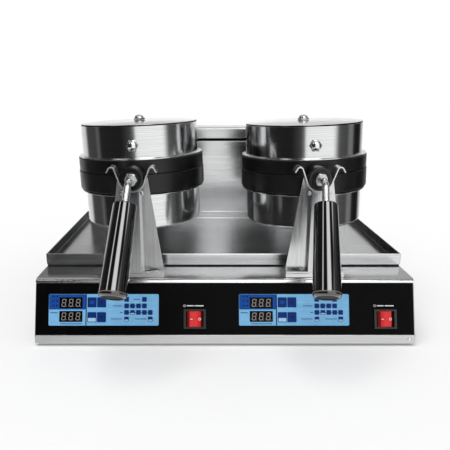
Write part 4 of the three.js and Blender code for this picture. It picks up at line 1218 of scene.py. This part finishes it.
def add_hinge_pin(side):
    head = head_place(side)
    low, high = spans(f"{side}_hinge_pin", head)
    centre = (low + high) / 2
    radius = (high.z - low.z) / 2
    place = head @ Matrix.Translation(centre) @ Matrix.Rotation(math.radians(90), 4, "Y")
    reach = (high.x - low.x) / 2
    edge = 0.0008
    profile = [(0, -reach), (radius - edge, -reach), (radius, -reach + edge), (radius, reach - edge),
               (radius - edge, reach), (0, reach)]
    bm = bmesh.new()
    turned(bm, profile, 48)
    piece(f"{side}_hinge_pin_rod", bm, ["chrome"], f"{side}_head", place, [f"{side}_hinge_pin"])


def add_head(side):
    for half in ("lower", "upper"):
        add_casing(side, half)
        add_ring(side, half)
        add_plate(side, half)
    add_journal(side)
    add_lid_arm(side)
    add_yoke(side)
    add_dome_nut(side, "top")
    add_dome_nut(side, "front")
    add_handle(side)
    add_bearing(side)
    add_spindle(side)
    add_hinge_pin(side)


def finish_carried_over():
    """Every CAD node that still shows takes its slot's material."""
    for name, node in frame["nodes"].items():
        if not node.hide_render:
            node.data.materials.clear()
            node.data.materials.append(looks[slot_of_node[name]])


# ---------- stage, camera and light ----------

def unseen_by(made, *kinds):
    for kind in kinds:
        setattr(made, f"visible_{kind}", False)


def stage_object(name, bm, material, hidden_from, height=0.0):
    """Something that belongs to the studio and not to the machine."""
    mesh = bpy.data.meshes.new(name)
    bm.to_mesh(mesh)
    bm.free()
    mesh.materials.append(material)
    made = bpy.data.objects.new(name, mesh)
    bpy.context.scene.collection.objects.link(made)
    made.location = (0, 0, height)
    unseen_by(made, *hidden_from)


def add_floor():
    bm = bmesh.new()
    bmesh.ops.create_circle(bm, cap_ends=True, segments=64, radius=FLOOR_RADIUS)
    paint = Shader("floor_white", (0.93, 0.93, 0.93), 0.0, 0.9, Specular_IOR_Level=0.0)
    stage_object("floor", bm, paint.material, ["glossy"])


# The studio as the metal sees it, in rings from low to high. Each is a list of azimuths, in degrees from
# straight in front and positive to the right, with the light at each.
FLOOR_RING = ((-180, 0.9), (180, 0.9))
WALL_RING = ((-180, 1.15), (-150, 0.9), (-124, 0.75), (-115, 0.07), (-88, 0.06), (-84, 0.14), (-80, 0.13),
             (-76, 0.02), (-30, 0.015), (-12, 0.06), (-6, 0.2), (-3, 1.1), (50, 1.15), (61, 0.1), (82, 0.07),
             (88, 0.24), (97, 0.2), (101, 0.012), (125, 0.012), (134, 0.5), (150, 0.9), (180, 1.15))
TRAY_RING = ((-180, 0.6), (-150, 0.5), (-120, 0.3), (-105, 0.05), (-9, 0.05), (-3, 0.95), (45, 0.95), (60, 0.1),
             (105, 0.05), (125, 0.5), (150, 0.7), (180, 0.7))
FOLD_RING = ((-180, 0.2), (-145, 0.15), (-120, 0.1), (-100, 0.03), (-9, 0.03), (-5, 1.35), (50, 1.35),
             (66, 0.2), (110, 0.2), (140, 0.45), (180, 0.45))
HIGH_RING = ((-180, 0.5), (-128, 0.5), (-112, 0.05), (-64, 0.02), (-60, 3.2), (-53, 3.2), (-49, 0.015),
             (-13, 0.02), (-7, 3.6), (8, 4.6), (30, 4.2), (37, 0.03), (60, 0.03), (64, 2.6), (71, 2.6),
             (75, 0.02), (110, 0.05), (130, 0.6), (180, 0.6))
TOP_RING = ((-180, 0.7), (-120, 0.5), (-100, 0.1), (-20, 0.1), (0, 0.8), (60, 0.8), (80, 0.2), (180, 0.7))
RING_EDGES = ((-26, -22), (6, 9), (18, 22), (33, 38), (64, 72))  # elevations where each gives way to the next
STUDIO_RADIUS = 6.0
STUDIO_HEIGHT = 0.2  # of its centre above the floor
FLOOR_RADIUS = 12.0
BACKDROP_RADIUS = 12.5
NEVER_SEEN_BY = ("diffuse", "transmission", "volume_scatter", "shadow")


def studio_material():
    made = bpy.data.materials.new("studio_cards")
    made.use_nodes = True
    tree = made.node_tree
    tree.nodes.clear()

    def node(kind, **values):
        item = tree.nodes.new(kind)
        for key_name, value in values.items():
            setattr(item, key_name, value)
        return item

    place = node("ShaderNodeTexCoord").outputs["Object"]
    split = node("ShaderNodeSeparateXYZ")
    tree.links.new(place, split.inputs[0])
    flipped = node("ShaderNodeMath", operation="MULTIPLY")
    tree.links.new(split.outputs["Y"], flipped.inputs[0])
    flipped.inputs[1].default_value = -1
    azimuth = node("ShaderNodeMath", operation="ARCTAN2")
    tree.links.new(split.outputs["X"], azimuth.inputs[0])
    tree.links.new(flipped.outputs[0], azimuth.inputs[1])
    share = node("ShaderNodeMapRange")
    share.inputs["From Min"].default_value = -math.pi
    share.inputs["From Max"].default_value = math.pi
    tree.links.new(azimuth.outputs[0], share.inputs["Value"])
    height = node("ShaderNodeMath", operation="DIVIDE")
    tree.links.new(split.outputs["Z"], height.inputs[0])
    height.inputs[1].default_value = STUDIO_RADIUS

    def ramp(stops):
        item = node("ShaderNodeValToRGB")
        elements = item.color_ramp.elements
        peak = max(v for _, v in stops)
        while len(elements) < len(stops):
            elements.new(0.5)
        for element, (degrees, value) in zip(elements, stops):
            element.position = (degrees + 180) / 360
            element.color = (value / peak,) * 3 + (1,)
        tree.links.new(share.outputs["Result"], item.inputs["Fac"])
        scale = node("ShaderNodeMath", operation="MULTIPLY")
        tree.links.new(item.outputs["Color"], scale.inputs[0])
        scale.inputs[1].default_value = peak
        return scale.outputs[0]

    def blended(low, high, start, end):
        """One light below the start elevation and another above the end one, in degrees."""
        factor = node("ShaderNodeMapRange", interpolation_type="SMOOTHSTEP")
        factor.inputs["From Min"].default_value = math.sin(math.radians(start))
        factor.inputs["From Max"].default_value = math.sin(math.radians(end))
        tree.links.new(height.outputs[0], factor.inputs["Value"])
        item = node("ShaderNodeMix", data_type="FLOAT")
        tree.links.new(factor.outputs["Result"], item.inputs["Factor"])
        tree.links.new(low, item.inputs["A"])
        tree.links.new(high, item.inputs["B"])
        return item.outputs["Result"]

    level = ramp(FLOOR_RING)
    rings = (WALL_RING, TRAY_RING, FOLD_RING, HIGH_RING, TOP_RING)
    for stops, edges in zip(rings, RING_EDGES):
        level = blended(level, ramp(stops), *edges)
    light = node("ShaderNodeEmission")
    tree.links.new(level, light.inputs["Strength"])
    out = node("ShaderNodeOutputMaterial")
    tree.links.new(light.outputs["Emission"], out.inputs["Surface"])
    return made


def add_studio():
    """Cards and softboxes around the machine, which only reflections see."""
    bm = bmesh.new()
    bmesh.ops.create_uvsphere(bm, u_segments=64, v_segments=32, radius=STUDIO_RADIUS)
    stage_object("studio", bm, studio_material(), ["camera", *NEVER_SEEN_BY], STUDIO_HEIGHT)


def add_backdrop():
    """White paper all round, which only the camera sees."""
    bm = bmesh.new()
    bmesh.ops.create_uvsphere(bm, u_segments=48, v_segments=24, radius=BACKDROP_RADIUS)
    paper = bpy.data.materials.new("backdrop_white")
    paper.use_nodes = True
    paper.node_tree.nodes.clear()
    light = paper.node_tree.nodes.new("ShaderNodeEmission")
    out = paper.node_tree.nodes.new("ShaderNodeOutputMaterial")
    light.inputs["Strength"].default_value = 1.05
    paper.node_tree.links.new(light.outputs["Emission"], out.inputs["Surface"])
    stage_object("backdrop", bm, paper, ["glossy", *NEVER_SEEN_BY])


def add_light():
    world = bpy.data.worlds.new("studio_air")
    bpy.context.scene.world = world
    world.use_nodes = True
    background = world.node_tree.nodes["Background"]
    background.inputs["Color"].default_value = (1, 1, 1, 1)
    background.inputs["Strength"].default_value = 0.55
    data = bpy.data.lights.new("overhead", "SUN")
    data.energy = 1.75
    data.angle = math.radians(50)
    sun = bpy.data.objects.new("overhead", data)
    bpy.context.scene.collection.objects.link(sun)
    sun.rotation_euler = (math.radians(14), math.radians(-10), 0)
    unseen_by(sun, "glossy")


LENS = 40.84  # millimetres, on a sensor 36 wide
CAMERA_SHIFT = 0.0469
CAMERA_X, CAMERA_Z = -0.0321, 0.3777
CAMERA_AHEAD = 0.7084  # of the base's front edge
CAMERA_DIP = math.radians(14.72)


def add_camera():
    data = bpy.data.cameras.new("camera")
    data.lens = LENS
    data.sensor_width = 36
    data.shift_x = CAMERA_SHIFT
    data.clip_start = 0.01
    data.clip_end = 100
    camera = bpy.data.objects.new("camera", data)
    bpy.context.scene.collection.objects.link(camera)
    camera.location = (CAMERA_X, base_low.y - CAMERA_AHEAD, CAMERA_Z)
    camera.rotation_euler = (math.pi / 2 - CAMERA_DIP, 0, 0)
    bpy.context.scene.camera = camera


add_camera()
add_base()
add_controls()
add_tray()
add_rear()
for side_name in SIDES:
    add_stand(side_name)
    add_head(side_name)
finish_carried_over()
add_floor()
add_studio()
add_backdrop()
add_light()
bpy.context.scene.view_settings.view_transform = "Standard"

bpy.context.view_layer.update()
